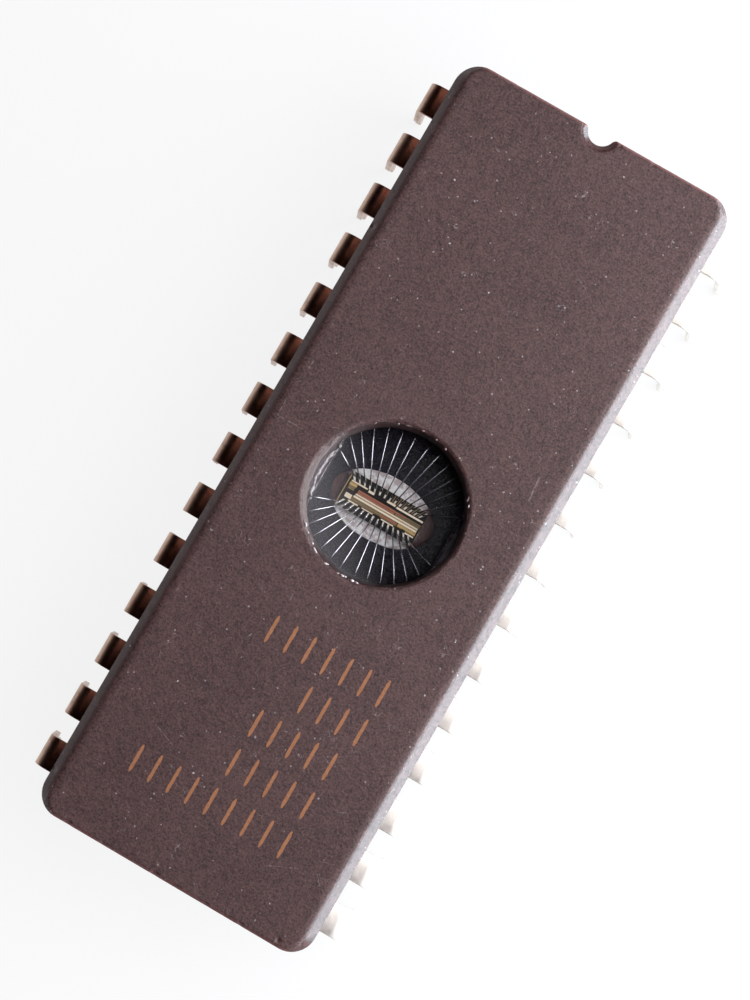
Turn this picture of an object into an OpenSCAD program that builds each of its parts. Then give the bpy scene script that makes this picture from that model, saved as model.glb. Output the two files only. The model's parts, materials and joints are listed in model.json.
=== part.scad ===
// Windowed ceramic dual in-line package: a memory chip whose die is seen through a glass
// window in the lid. A ceramic base and a ceramic lid are fused together by sealing glass,
// with one row of bent metal leads along each long side.
// Millimetres. X runs across the body, +Y along it to the notched end, +Z is up.
// The origin is the middle of the footprint, at the height of the lead tips.

/* [Leads] */
// Number of leads in each row, an even number
leads_per_row = 14; // [10:2:20]
// Spacing of the leads along a row
lead_pitch = 2.54; // [2.4:0.01:2.8]
// Distance over the outer faces of the two rows, where the leads bend down
row_span = 15.4; // [15:0.05:16.4]
// Thickness of the lead strip
lead_t = 0.25; // [0.2:0.01:0.3]
// Width of a lead at its shoulder and shank
shank_w = 1.45; // [1.2:0.05:1.6]
// Width of a lead's narrow tip
tip_w = 0.46; // [0.4:0.02:0.56]
// Length of the narrow tip, below the seating plane
tip_l = 3.3; // [2.6:0.05:4.1]
// Height of the taper between shank and tip
taper_h = 0.35; // [0.2:0.05:0.6]
// Length of the pointed end of the tip
point_h = 0.6; // [0.3:0.05:0.9]
// Width of the very end of the tip
point_w = 0.2; // [0.14:0.02:0.3]
// Outer radius of the bend
bend_r = 0.6; // [0.45:0.05:0.8]
// Angle by which each row leans outward, in degrees
splay = 4; // [0:0.5:8]

/* [Inner fingers] */
// Depth to which a lead keeps its full width inside the seal
embed_l = 0.9; // [0.5:0.1:1.3]
// Distance over the points where the fingers turn towards the cavity
turn_span = 9.8; // [9.2:0.1:10.2]
// Width of a finger where it turns
finger_w = 0.6; // [0.4:0.05:0.7]
// Width of a finger at the cavity
finger_tip_w = 0.28; // [0.2:0.02:0.34]
// Angle of the fan in which the fingers of one side reach the cavity, in degrees
fan_angle = 132; // [120:1:140]

/* [Ceramic body] */
// Distance from the side of the body to the outer face of the leads
side_gap = 1.05; // [0.9:0.05:1.3]
// Distance from the middle of the end lead to the end of the body
end_margin = 1.99; // [1.5:0.01:2.5]
// Height of the underside above the seating plane
standoff = 1.1; // [0.6:0.05:1.4]
// Thickness of the base
base_t = 1.55; // [1.3:0.05:2]
// Thickness of the lid
lid_t = 1.9; // [1.5:0.05:2.4]
// Radius of the upright corners
corner_r = 1.1; // [0.7:0.05:1.6]
// Width of the bevel on the long outer edges, seen from above
long_bevel_w = 0.46; // [0.2:0.02:0.6]
// Height of the bevel on the long outer edges
long_bevel_h = 0.42; // [0.2:0.02:0.6]
// Width and height of the small bevel on the end edges
end_bevel = 0.1; // [0.05:0.01:0.2]

/* [Notch] */
// Radius of the orientation notch
notch_r = 0.62; // [0.5:0.02:0.9]
// Distance of the notch's centre outside the end face
notch_out = 0.06; // [0:0.01:0.2]
// Radius that rounds the notch into the end face
notch_fillet = 0.22; // [0.1:0.02:0.4]
// Width of the bevel round the notch's rim
notch_bevel = 0.26; // [0.1:0.02:0.36]

/* [Seal] */
// Thickness of the sealing glass under the leads
seal_under = 0.2; // [0.1:0.05:0.3]
// Thickness of the sealing glass over the leads
seal_over = 0.3; // [0.2:0.05:0.4]
// Distance by which the sealing glass stays inside the ceramic
seal_inset = 0.1; // [0.05:0.01:0.2]
// Width of the shelf round the cavity that leaves the finger tips bare
bond_shelf = 0.6; // [0.5:0.05:0.8]

/* [Window and cavity] */
// Diameter of the window
window_d = 7.1; // [6.4:0.1:7.4]
// Bevel round the window's hole
window_bevel = 0.08; // [0.04:0.01:0.15]
// Depth of the glass surface below the top of the lid
glass_sink = 0.17; // [0.1:0.01:0.3]
// Height by which the glass climbs at its rim
glass_climb = 0.14; // [0.05:0.01:0.2]
// Height of the glass's lower face above the underside of the lid
glass_lift = 0.15; // [0:0.05:0.4]
// Width of the die cavity across the body
cavity_w = 6.4; // [6:0.1:6.8]
// Length of the die cavity along the body
cavity_l = 7.7; // [7.2:0.1:8.2]
// Depth of the die cavity in the base
cavity_depth = 0.55; // [0.4:0.05:0.8]
// Corner radius of the die cavity
cavity_r = 0.6; // [0.3:0.1:1]

/* [Die] */
// Length of the die, across the body
die_l = 3.97; // [3.6:0.01:4.4]
// Width of the die, along the body
die_w = 1.71; // [1.5:0.01:2.2]
// Thickness of the die
die_t = 0.38; // [0.3:0.01:0.45]
// Offset of the die from the window's centre, across the body
die_dx = -0.165; // [-0.3:0.005:0.3]
// Offset of the die from the window's centre, along the body
die_dy = -0.15; // [-0.3:0.005:0.3]
// Length of the attach pad, across the body
attach_l = 5.1; // [4.8:0.1:5.6]
// Width of the attach pad, along the body
attach_w = 3.1; // [2.8:0.1:3.6]
// Thickness of the attach pad
attach_t = 0.06; // [0.03:0.01:0.1]

/* [Bond wires] */
// Diameter of a bond wire
wire_d = 0.06; // [0.03:0.005:0.08]
// Rise of a wire's arc over the straight line between its ends
wire_rise = 0.32; // [0.2:0.02:0.36]
// Distance of the pads from the die's end edges
pad_end_margin = 0.17; // [0.1:0.01:0.3]
// Distance of the pads from the die's long edges
pad_edge_margin = 0.17; // [0.1:0.01:0.3]
// Distance of the bond from the end of the finger
bond_in = 0.25; // [0.15:0.01:0.4]
// Length of the flattened foot of a wire
foot_l = 0.2; // [0.12:0.01:0.26]
// Width of the flattened foot of a wire
foot_w = 0.11; // [0.08:0.01:0.14]
// Thickness of the flattened foot of a wire
foot_t = 0.04; // [0.02:0.005:0.05]

/* [Hidden] */
// Smoothness of the round faces
arc_fn = 64;
// Number of straight sides that stand for the oval of the attach pad
oval_sides = 48;
// Length by which a cutting shape runs past the face it cuts
over = 1;

half_row = leads_per_row / 2;
body_w = row_span - 2 * side_gap;
body_l = (leads_per_row - 1) * lead_pitch + 2 * end_margin;

// Heights, from the lead tips upward
base_z = tip_l + standoff;
cavity_z = base_z + base_t - cavity_depth;
seal_z = base_z + base_t;
lead_z = seal_z + seal_under;
lead_top_z = lead_z + lead_t;
lid_z = lead_top_z + seal_over;
top_z = lid_z + lid_t;
die_z = cavity_z + attach_t;
die_top_z = die_z + die_t;

// The bend: a quarter ring less the splay, about an axis along the row
bend_x = row_span / 2 - bend_r;
bend_z = lead_top_z - bend_r;
bend_in_r = bend_r - lead_t;
// The leg reaches the floor at its inner edge
leg_l = (bend_z + bend_in_r * sin(splay)) / cos(splay);
tip_part_l = tip_l / cos(splay);

fan_step = fan_angle / (leads_per_row - 1);
pad_step = (die_l - 2 * pad_end_margin) / (leads_per_row - 1);
pad_row = die_w / 2 - pad_edge_margin;

// Distance from the end lead to the lead of this place in its row, as a place along Y
function row_y(place) = ((leads_per_row - 1) / 2 - place) * lead_pitch;

// The two-figure name of a lead, counted round the body from the notch
function lead_name(n) = str("lead_", n < 10 ? "0" : "", n);

// The point of the cavity's edge that a finger of this place meets, in the quarter +X +Y
function fan_at(place) = 90 - fan_step * (place + 0.5);
function edge_reach(a) = min(cavity_w / 2 / cos(a), cavity_l / 2 / sin(a));
function edge_point(place) = edge_reach(fan_at(place)) * [cos(fan_at(place)), sin(fan_at(place))];

// The turn of a finger, and the way from the cavity's edge back along the finger
function turn_point(place) = [turn_span / 2, row_y(place)];
function unit(v) = v / norm(v);
function finger_way(place) = unit(turn_point(place) - edge_point(place));
function bond_point(place) = edge_point(place) + bond_in * finger_way(place);

// A rectangle about the origin with rounded corners
module rounded_rect(w, l, r) {
    square([w - 2 * r, l], center = true);
    square([w, l - 2 * r], center = true);
    for (sx = [-1, 1], sy = [-1, 1])
        translate([sx * (w / 2 - r), sy * (l / 2 - r)])
            circle(r, $fn = arc_fn);
}

// The notch in the end face: a round bottom whose mouth is rounded into the face
module notch_outline() {
    reach = notch_r + notch_fillet;
    mouth_x = sqrt(reach * reach - pow(notch_fillet + notch_out, 2));
    translate([0, notch_out])
        circle(notch_r, $fn = arc_fn);
    difference() {
        polygon([[-mouth_x, over], [mouth_x, over], [mouth_x, -notch_fillet],
                 [0, notch_out], [-mouth_x, -notch_fillet]]);
        for (sx = [-1, 1])
            translate([sx * mouth_x, -notch_fillet])
                circle(notch_fillet, $fn = arc_fn);
    }
}

// The outline of the body from above, with the notch in its +Y end
module body_outline(inset) {
    difference() {
        rounded_rect(body_w - 2 * inset, body_l - 2 * inset, corner_r - inset);
        translate([0, body_l / 2 - inset])
            notch_outline();
    }
}

// Section of a slab that is so wide and thick, with a bevel on its two upper edges
module bevelled_section(width, t, bevel_w, bevel_h) {
    x = width / 2;
    polygon([[-x, 0], [x, 0], [x, t - bevel_h], [x - bevel_w, t],
             [bevel_w - x, t], [-x, t - bevel_h]]);
}

// A ceramic slab that stands on z = 0, with its bevelled edges on top
module slab(t) {
    difference() {
        intersection() {
            linear_extrude(t)
                body_outline(0);
            rotate([90, 0, 0])
                linear_extrude(body_l + over, center = true)
                    bevelled_section(body_w, t, long_bevel_w, long_bevel_h);
            rotate([90, 0, 90])
                linear_extrude(body_w + over, center = true)
                    bevelled_section(body_l, t, end_bevel, end_bevel);
        }
        translate([0, body_l / 2 + notch_out, t - notch_bevel])
            cylinder(h = 2 * notch_bevel, r1 = notch_r, r2 = notch_r + 2 * notch_bevel,
                     $fn = arc_fn);
    }
}

module cavity_outline(grow) {
    rounded_rect(cavity_w + 2 * grow, cavity_l + 2 * grow, cavity_r + grow);
}

module ceramic_base() {
    color([0.33, 0.25, 0.25])
        difference() {
            translate([0, 0, seal_z])
                mirror([0, 0, 1])
                    slab(base_t);
            translate([0, 0, cavity_z])
                linear_extrude(cavity_depth + over)
                    cavity_outline(0);
        }
}

module ceramic_lid() {
    color([0.36, 0.28, 0.28])
        difference() {
            translate([0, 0, lid_z])
                slab(lid_t);
            translate([0, 0, lid_z - over])
                cylinder(h = lid_t + 2 * over, d = window_d, $fn = arc_fn);
            translate([0, 0, top_z - window_bevel])
                cylinder(h = 2 * window_bevel, r1 = window_d / 2,
                         r2 = window_d / 2 + 2 * window_bevel, $fn = arc_fn);
        }
}

// Clear glass that was melted into the hole, so that it climbs a little at its rim
module window_glass() {
    r = window_d / 2;
    face_z = top_z - glass_sink;
    foot_z = lid_z + glass_lift;
    color([0.75, 0.8, 0.88, 0.4])
        rotate_extrude($fn = arc_fn)
            difference() {
                translate([0, foot_z])
                    square([r, face_z + glass_climb - foot_z]);
                translate([0, face_z])
                    square([r - glass_climb, over]);
                translate([r - glass_climb, face_z + glass_climb])
                    circle(glass_climb, $fn = arc_fn);
            }
}

// Sealing glass: flush with the leads round the cavity, and full up to the lid beyond the shelf
module seal_glass() {
    color([0.16, 0.14, 0.16])
        difference() {
            translate([0, 0, seal_z])
                linear_extrude(lid_z - seal_z)
                    body_outline(seal_inset);
            translate([0, 0, seal_z - over])
                linear_extrude(lid_z - seal_z + 2 * over)
                    cavity_outline(0);
            translate([0, 0, lead_top_z])
                linear_extrude(seal_over + over)
                    cavity_outline(bond_shelf);
            for (n = [1:2 * leads_per_row])
                lead_solid(n);
        }
}

// Plan of the flat part of a lead in the quarter +X +Y: the wide shoulder, the neck and the
// finger, trimmed along the cavity's edge
module finger_outline(place) {
    turn = turn_point(place);
    way = finger_way(place);
    inner = edge_point(place) - bond_in * way;
    normal_in = [way[1], -way[0]];
    mitre = ([0, -1] + normal_in) / (1 - normal_in[1]);
    neck_x = body_w / 2 - embed_l;
    difference() {
        union() {
            translate([neck_x, row_y(place) - shank_w / 2])
                square([bend_x - neck_x, shank_w]);
            polygon([[neck_x, row_y(place) - shank_w / 2],
                     turn + mitre * finger_w / 2,
                     inner + normal_in * finger_tip_w / 2,
                     inner - normal_in * finger_tip_w / 2,
                     turn - mitre * finger_w / 2,
                     [neck_x, row_y(place) + shank_w / 2]]);
        }
        cavity_outline(0);
    }
}

// Outline of a leg seen along X, hung from z = 0: shank, taper and pointed tip
module leg_outline() {
    seat = tip_part_l - leg_l;
    polygon([[-shank_w / 2, 0], [-shank_w / 2, seat + taper_h], [-tip_w / 2, seat],
             [-tip_w / 2, point_h - leg_l], [-point_w / 2, -leg_l], [point_w / 2, -leg_l],
             [tip_w / 2, point_h - leg_l], [tip_w / 2, seat], [shank_w / 2, seat + taper_h],
             [shank_w / 2, 0]]);
}

// Section of the bend, seen along the row
module bend_section() {
    intersection() {
        difference() {
            circle(bend_r, $fn = arc_fn);
            circle(bend_in_r, $fn = arc_fn);
        }
        polygon([[0, 0], 2 * bend_r * [cos(splay), sin(splay)], 2 * bend_r * [1, 1],
                 2 * bend_r * [0, 1]]);
    }
}

// A whole lead in the quarter +X +Y
module quarter_lead(place) {
    translate([0, 0, lead_z])
        linear_extrude(lead_t)
            finger_outline(place);
    translate([bend_x, row_y(place), bend_z]) {
        rotate([90, 0, 0])
            linear_extrude(shank_w, center = true)
                bend_section();
        rotate([0, -splay, 0])
            translate([bend_in_r, 0, 0])
                rotate([90, 0, 90])
                    linear_extrude(lead_t)
                        leg_outline();
    }
}

// Leads are counted down the -X side from the notch and back up the +X side
module lead_solid(n) {
    left = n <= leads_per_row;
    place = left ? n - 1 : 2 * leads_per_row - n;
    far = place >= half_row;
    mirror([left ? 1 : 0, 0, 0])
        mirror([0, far ? 1 : 0, 0])
            quarter_lead(far ? leads_per_row - 1 - place : place);
}

module lead(n) {
    color([0.72, 0.62, 0.52])
        lead_solid(n);
}

module die_attach() {
    color([0.78, 0.75, 0.72])
        translate([die_dx, die_dy, cavity_z])
            linear_extrude(attach_t)
                polygon([for (i = [0:oval_sides - 1])
                         [attach_l / 2 * cos(360 * i / oval_sides),
                          attach_w / 2 * sin(360 * i / oval_sides)]]);
}

module silicon_die() {
    color([0.55, 0.48, 0.33])
        translate([die_dx - die_l / 2, die_dy - die_w / 2, die_z])
            cube([die_l, die_w, die_t]);
}

// One wire: an arc in an upright plane from a pad to a finger, with a flattened foot at each end
module bond_wire(pad, finger) {
    run = norm(finger - pad);
    climb = lead_top_z - die_top_z;
    chord = norm([run, climb]);
    arc_r = (chord * chord / 4 + wire_rise * wire_rise) / (2 * wire_rise);
    half_turn = asin(chord / 2 / arc_r);
    slope = atan2(climb, run);
    drop = arc_r - wire_rise;
    translate([pad[0], pad[1], die_top_z])
        rotate([0, 0, atan2(finger[1] - pad[1], finger[0] - pad[0])]) {
            translate([run / 2 + drop * sin(slope), 0, climb / 2 - drop * cos(slope) + wire_d / 2])
                rotate([90, 0, 0])
                    rotate([0, 0, 90 + slope - half_turn])
                        rotate_extrude(angle = 2 * half_turn, $fn = arc_fn)
                            translate([arc_r, 0])
                                circle(d = wire_d, $fn = arc_fn / 4);
            translate([-foot_l / 2, -foot_w / 2, 0])
                cube([foot_l, foot_w, foot_t]);
            translate([run - foot_l / 2, -foot_w / 2, climb])
                cube([foot_l, foot_w, foot_t]);
        }
}

// The wires of one long edge of the die; side is 1 at the notch and -1 at the far end
module bond_wires(side) {
    color([0.86, 0.87, 0.9])
        for (sx = [-1, 1], place = [0:half_row - 1]) {
            pad = [die_dx + sx * pad_step * (place + 0.5), die_dy + side * pad_row];
            finger = [sx * bond_point(place)[0], side * bond_point(place)[1]];
            bond_wire(pad, finger);
        }
}

ceramic_base();
ceramic_lid();
window_glass();
seal_glass();
silicon_die();
die_attach();
bond_wires(1);  // bond_wires_notch_side
bond_wires(-1);  // bond_wires_far_side
for (n = [1:2 * leads_per_row])
    lead(n);
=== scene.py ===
# %% [markdown]
# # A windowed memory chip
#
# The real object is a ceramic package: a base and a lid of pressed dark ceramic, fused together
# by sealing glass, with a row of bent metal leads along each long side. A round glass window in
# the lid shows the silicon die and its fine wires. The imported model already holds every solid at
# its real size, so this scene only gives each one its finish, and replaces the ones whose true
# surface is finer than the solid: the edges of the ceramic, the melted glass, the formed leads.

import json
import math
import random

import bmesh
import bpy
import numpy as np
from mathutils import Matrix, Vector, noise
from mathutils.geometry import delaunay_2d_cdt
from mathutils.kdtree import KDTree

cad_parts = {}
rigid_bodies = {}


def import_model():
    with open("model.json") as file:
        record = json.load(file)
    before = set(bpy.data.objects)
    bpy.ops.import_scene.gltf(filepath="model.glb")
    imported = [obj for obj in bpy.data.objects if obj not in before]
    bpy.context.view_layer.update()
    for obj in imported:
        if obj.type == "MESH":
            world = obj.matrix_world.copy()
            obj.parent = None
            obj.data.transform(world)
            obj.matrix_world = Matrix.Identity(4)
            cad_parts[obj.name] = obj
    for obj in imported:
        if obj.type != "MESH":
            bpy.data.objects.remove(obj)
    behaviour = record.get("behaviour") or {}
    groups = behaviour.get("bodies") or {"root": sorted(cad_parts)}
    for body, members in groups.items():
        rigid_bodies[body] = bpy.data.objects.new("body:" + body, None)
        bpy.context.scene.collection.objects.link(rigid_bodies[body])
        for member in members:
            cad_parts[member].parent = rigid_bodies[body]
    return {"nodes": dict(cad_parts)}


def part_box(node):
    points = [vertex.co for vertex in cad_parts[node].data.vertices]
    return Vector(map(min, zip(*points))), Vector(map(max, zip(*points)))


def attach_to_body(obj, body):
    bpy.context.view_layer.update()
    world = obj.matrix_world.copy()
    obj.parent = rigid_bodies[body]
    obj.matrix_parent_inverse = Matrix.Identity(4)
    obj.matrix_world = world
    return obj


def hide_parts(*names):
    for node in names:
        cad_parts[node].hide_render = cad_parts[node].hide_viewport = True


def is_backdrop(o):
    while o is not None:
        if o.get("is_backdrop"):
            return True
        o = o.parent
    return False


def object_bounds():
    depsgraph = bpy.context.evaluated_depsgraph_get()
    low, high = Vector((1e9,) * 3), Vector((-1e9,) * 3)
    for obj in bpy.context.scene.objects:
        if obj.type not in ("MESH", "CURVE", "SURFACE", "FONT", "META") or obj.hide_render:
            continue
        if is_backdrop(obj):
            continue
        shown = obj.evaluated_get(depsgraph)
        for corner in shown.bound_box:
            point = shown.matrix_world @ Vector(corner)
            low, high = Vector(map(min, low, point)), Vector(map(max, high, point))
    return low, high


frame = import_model()
CAD_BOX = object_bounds()
MM = 0.001
scene = bpy.context.scene
print("the packed box in mm:", [[round(x / MM, 2) for x in corner] for corner in CAD_BOX])


# %% Sizes read from the frame
def box_mm(node):
    """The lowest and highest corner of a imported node, in millimetres."""
    low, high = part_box(node)
    return low / MM, high / MM


LID_LOW, LID_HIGH = box_mm("ceramic_lid")
BASE_LOW, BASE_HIGH = box_mm("ceramic_base")
GLASS_LOW, GLASS_HIGH = box_mm("window_glass")
DIE_LOW, DIE_HIGH = box_mm("silicon_die")
ATTACH_LOW, ATTACH_HIGH = box_mm("die_attach")
BODY_W = LID_HIGH.x - LID_LOW.x
BODY_L = LID_HIGH.y - LID_LOW.y
TOP_Z = LID_HIGH.z
WINDOW_R = GLASS_HIGH.x
print(f"body {BODY_W:.2f} by {BODY_L:.2f} mm, top at {TOP_Z:.2f} mm, window radius {WINDOW_R:.2f} mm")

# %% [markdown]
# ## The camera
#
# The photograph looks almost straight down on the lid from close by, so there is a little
# perspective: the leads, which lie deeper, look smaller than the lid. The chip is turned in the
# picture. The camera could be aimed by eye, but the tilt and the distance were worked out from
# the edges of the body and the spacing of the leads, so they are written here as real angles and
# a real distance. The turn is a roll of the camera, and the chip keeps its own straight frame.

# %% Camera
VIEW_DISTANCE = 110.0
TILT_TO_FAR_END = math.radians(2.4)
TILT_TO_RIGHT = math.radians(2.75)
TURN = math.radians(30.19)
PIXELS_PER_MM = 23.47
LONG_SIDE = 1000
SENSOR = 36.0
CENTRE_OFF = (10.4, 4.7)

to_camera = Vector((
    math.sin(TILT_TO_RIGHT),
    -math.sin(TILT_TO_FAR_END) * math.cos(TILT_TO_RIGHT),
    math.cos(TILT_TO_FAR_END) * math.cos(TILT_TO_RIGHT),
))
level_right = Vector((0, 1, 0)).cross(to_camera).normalized()
level_up = to_camera.cross(level_right)
camera_right = math.cos(TURN) * level_right + math.sin(TURN) * level_up
camera_up = math.cos(TURN) * level_up - math.sin(TURN) * level_right

camera_data = bpy.data.cameras.new("camera")
camera_data.sensor_width = SENSOR
camera_data.lens = PIXELS_PER_MM * VIEW_DISTANCE / LONG_SIDE * SENSOR
camera_data.shift_x = -CENTRE_OFF[0] / LONG_SIDE
camera_data.shift_y = CENTRE_OFF[1] / LONG_SIDE
camera_data.clip_start = 5 * MM
camera = bpy.data.objects.new("camera", camera_data)
scene.collection.objects.link(camera)
turned = Matrix((camera_right, camera_up, to_camera)).transposed()
eye = (Vector((0, 0, TOP_Z)) + VIEW_DISTANCE * to_camera) * MM
camera.matrix_world = Matrix.Translation(eye) @ turned.to_4x4()
scene.camera = camera
scene.view_settings.view_transform = "Standard"
print(f"lens {camera_data.lens:.1f} mm, {VIEW_DISTANCE:.0f} mm above the lid")

# %% [markdown]
# ## A small kit for finishes
#
# Every finish here is procedural: its pattern is worked out from the place on the object, in
# millimetres, so it needs no picture and no unwrapping.


# %% Colours as seen
def seen(r, g, b, alpha=1.0):
    """The linear colour of a tone written as it looks on a screen, 0 to 255."""
    def linear(v):
        v = v / 255
        return v / 12.92 if v <= 0.04045 else ((v + 0.055) / 1.055) ** 2.4
    return (linear(r), linear(g), linear(b), alpha)


# %% Finish kit
class Finish:
    """A material that is built node by node; its lengths are in millimetres."""

    def __init__(self, name, **inputs):
        self.material = bpy.data.materials.new(name)
        self.material.use_nodes = True
        self.tree = self.material.node_tree
        self.shader = self.tree.nodes["Principled BSDF"]
        self.output = self.tree.nodes["Material Output"]
        coordinates = self.add("ShaderNodeTexCoord")
        self.place = self.vector("SCALE", coordinates.outputs["Object"], scale=1 / MM)
        for socket, value in inputs.items():
            self.set(self.shader.inputs[socket.replace("_", " ")], value)

    def set(self, socket, value):
        if isinstance(value, bpy.types.NodeSocket):
            self.tree.links.new(value, socket)
        else:
            socket.default_value = value

    def add(self, kind, settings=None, **inputs):
        made = self.tree.nodes.new(kind)
        for key, value in (settings or {}).items():
            setattr(made, key, value)
        for key, value in inputs.items():
            self.set(made.inputs[key.replace("_", " ")], value)
        return made

    def vector(self, operation, a, b=None, scale=None):
        made = self.add("ShaderNodeVectorMath", {"operation": operation})
        self.set(made.inputs[0], a)
        if b is not None:
            self.set(made.inputs[1], b)
        if scale is not None:
            made.inputs["Scale"].default_value = scale
        return made.outputs["Value" if operation in ("LENGTH", "DISTANCE") else "Vector"]

    def calc(self, operation, a, b=None, c=None, clamp=False):
        made = self.add("ShaderNodeMath", {"operation": operation, "use_clamp": clamp})
        for socket, value in zip(made.inputs, (a, b, c)):
            if value is not None:
                self.set(socket, value)
        return made.outputs["Value"]

    def noise(self, scale, detail=3.0, roughness=0.6, place=None):
        made = self.add("ShaderNodeTexNoise", Vector=place or self.place, Scale=scale,
                        Detail=detail, Roughness=roughness)
        return made.outputs["Fac"]

    def spread(self, value, low, high, to_low=0.0, to_high=1.0):
        """Maps a value from low..high to to_low..to_high, and stops at both ends."""
        made = self.add("ShaderNodeMapRange", {"interpolation_type": "SMOOTHSTEP"})
        for key, number in (("Value", value), ("From Min", low), ("From Max", high),
                            ("To Min", to_low), ("To Max", to_high)):
            self.set(made.inputs[key], number)
        return made.outputs["Result"]

    def mix(self, share, a, b, blend="MIX"):
        made = self.add("ShaderNodeMix", {"data_type": "RGBA", "blend_type": blend})
        self.set(made.inputs["Factor"], share)
        self.set(made.inputs["A"] if made.inputs["A"].type == "RGBA" else made.inputs[6], a)
        self.set(made.inputs["B"] if made.inputs["B"].type == "RGBA" else made.inputs[7], b)
        return made.outputs[2]

    def axes(self, place=None):
        made = self.add("ShaderNodeSeparateXYZ", Vector=place or self.place)
        return made.outputs["X"], made.outputs["Y"], made.outputs["Z"]

    def bump(self, height, depth, strength=1.0, under=None):
        """Bump from a height of 0 to 1 that stands for so many millimetres."""
        made = self.add("ShaderNodeBump", Height=height, Distance=depth * MM, Strength=strength)
        if under is not None:
            self.set(made.inputs["Normal"], under)
        return made.outputs["Normal"]

    def finish(self, **inputs):
        for socket, value in inputs.items():
            self.set(self.shader.inputs[socket.replace("_", " ")], value)
        return self.material


# %% [markdown]
# ## Dark pressed ceramic
#
# The body is a dark brown-purple ceramic, pressed from powder and fired. From a step away it is
# plain and matt. Close up it has a fine grain of lighter and darker points, a few bright
# inclusions, faint clouds where it was handled, and some thin scratches. A painted texture could
# show all that, but a procedural one stays sharp at every distance: noise at three scales makes
# the grain and the clouds, a sparse cell pattern makes the inclusions, and each scratch is the
# distance to a short line.

# %% Grain and clouds of the ceramic
CERAMIC_DARK = seen(50, 31, 32)
CERAMIC_LIGHT = seen(100, 72, 71)
CERAMIC_WARM = seen(102, 70, 64)
SPECK = seen(214, 204, 206)
SCRATCH_TONE = seen(160, 142, 144)
# Lighter, redder tone of a painted highlight along the small end bevels.
END_HIGHLIGHT_TONE = seen(140, 84, 82)
CERAMIC_IOR = 1.5
CERAMIC_ROUGH = 0.48
SCRATCHES = [
    ((-5.75, 3.85), (-5.78, 3.35), 0.022),
    ((-6.05, 1.02), (-4.55, 1.02), 0.018),
    ((5.08, 4.45), (5.22, 3.05), 0.035),
    ((-5.95, 1.9), (-5.9, 0.9), 0.016),
    ((-1.5, -5.25), (-1.46, -5.55), 0.03),
    ((2.1, 12.6), (2.9, 12.2), 0.014),
    ((-3.9, -12.9), (-2.6, -13.4), 0.014),
    ((3.2, -15.8), (4.7, -15.1), 0.014),
]


def scratch_mask(finish, start, end, half_width):
    """1 on a straight scratch across the plan, fading out at its edges."""
    start, end = Vector((*start, 0)), Vector((*end, 0))
    along = (end - start).normalized()
    across = Vector((-along.y, along.x, 0))
    middle = (start + end) / 2
    moved = finish.vector("SUBTRACT", finish.place, tuple(middle))
    side = finish.add("ShaderNodeVectorMath", {"operation": "DOT_PRODUCT"})
    finish.set(side.inputs[0], moved)
    side.inputs[1].default_value = tuple(across)
    run = finish.add("ShaderNodeVectorMath", {"operation": "DOT_PRODUCT"})
    finish.set(run.inputs[0], moved)
    run.inputs[1].default_value = tuple(along)
    near = finish.spread(finish.calc("ABSOLUTE", side.outputs["Value"]),
                         half_width * 0.4, half_width * 1.6, 1.0, 0.0)
    half = (end - start).length / 2
    within = finish.spread(finish.calc("ABSOLUTE", run.outputs["Value"]), half * 0.6, half, 1.0, 0.0)
    return finish.calc("MULTIPLY", near, within)


def sparse_points(finish, per_mm, share, size):
    """1 on rare small points: a share of the cells of a random pattern."""
    wavy = finish.add("ShaderNodeTexNoise", Vector=finish.place, Scale=6.0)
    bent = finish.vector("ADD", finish.place, finish.vector("SCALE", wavy.outputs["Color"], scale=0.12))
    cells = finish.add("ShaderNodeTexVoronoi", {"feature": "F1"}, Vector=bent, Scale=per_mm)
    chosen = finish.add("ShaderNodeSeparateColor", Color=cells.outputs["Color"])
    rare = finish.calc("GREATER_THAN", chosen.outputs["Red"], 1 - share)
    near = size * per_mm
    point = finish.spread(cells.outputs["Distance"], near * 0.4, near, 1.0, 0.0)
    return finish.calc("MULTIPLY", point, rare)


def pressed_edge(finish):
    """1 on the bevels that the press leaves smooth: the long edges and the notch."""
    x, y, z = finish.axes()
    side = finish.spread(finish.calc("ABSOLUTE", x), BODY_W / 2 - LONG_BEVEL_W,
                         BODY_W / 2 - LONG_BEVEL_W + 0.1)
    from_notch = finish.vector("DISTANCE", finish.add(
        "ShaderNodeCombineXYZ", X=x, Y=y).outputs["Vector"], (0, BODY_L / 2 + NOTCH_OUT, 0))
    notch = finish.spread(from_notch, NOTCH_R + NOTCH_BEVEL, NOTCH_R + NOTCH_BEVEL + 0.06, 1.0, 0.0)
    return finish.calc("MAXIMUM", side, notch)


def short_curls(finish, per_mm, thin):
    """1 on short curved marks: a thin contour of one noise, kept in rare patches of another."""
    contour = finish.spread(finish.calc("ABSOLUTE", finish.calc(
        "SUBTRACT", finish.noise(per_mm, detail=1.0), 0.5)), 0.0, thin, 1.0, 0.0)
    return finish.calc("MULTIPLY", contour, finish.spread(finish.noise(1.3, detail=2.0), 0.62, 0.67))


def in_cavity(finish):
    """1 on the walls and the floor of the die cavity, 0 on the rest of the base."""
    x, y, z = finish.axes()
    within_plan = finish.calc(
        "MULTIPLY", finish.calc("LESS_THAN", finish.calc("ABSOLUTE", x), CAVITY_W / 2 + 0.01),
        finish.calc("LESS_THAN", finish.calc("ABSOLUTE", y), CAVITY_L / 2 + 0.01))
    return finish.calc("MULTIPLY", within_plan,
                       finish.calc("GREATER_THAN", z, ATTACH_LOW.z - 0.1))


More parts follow.
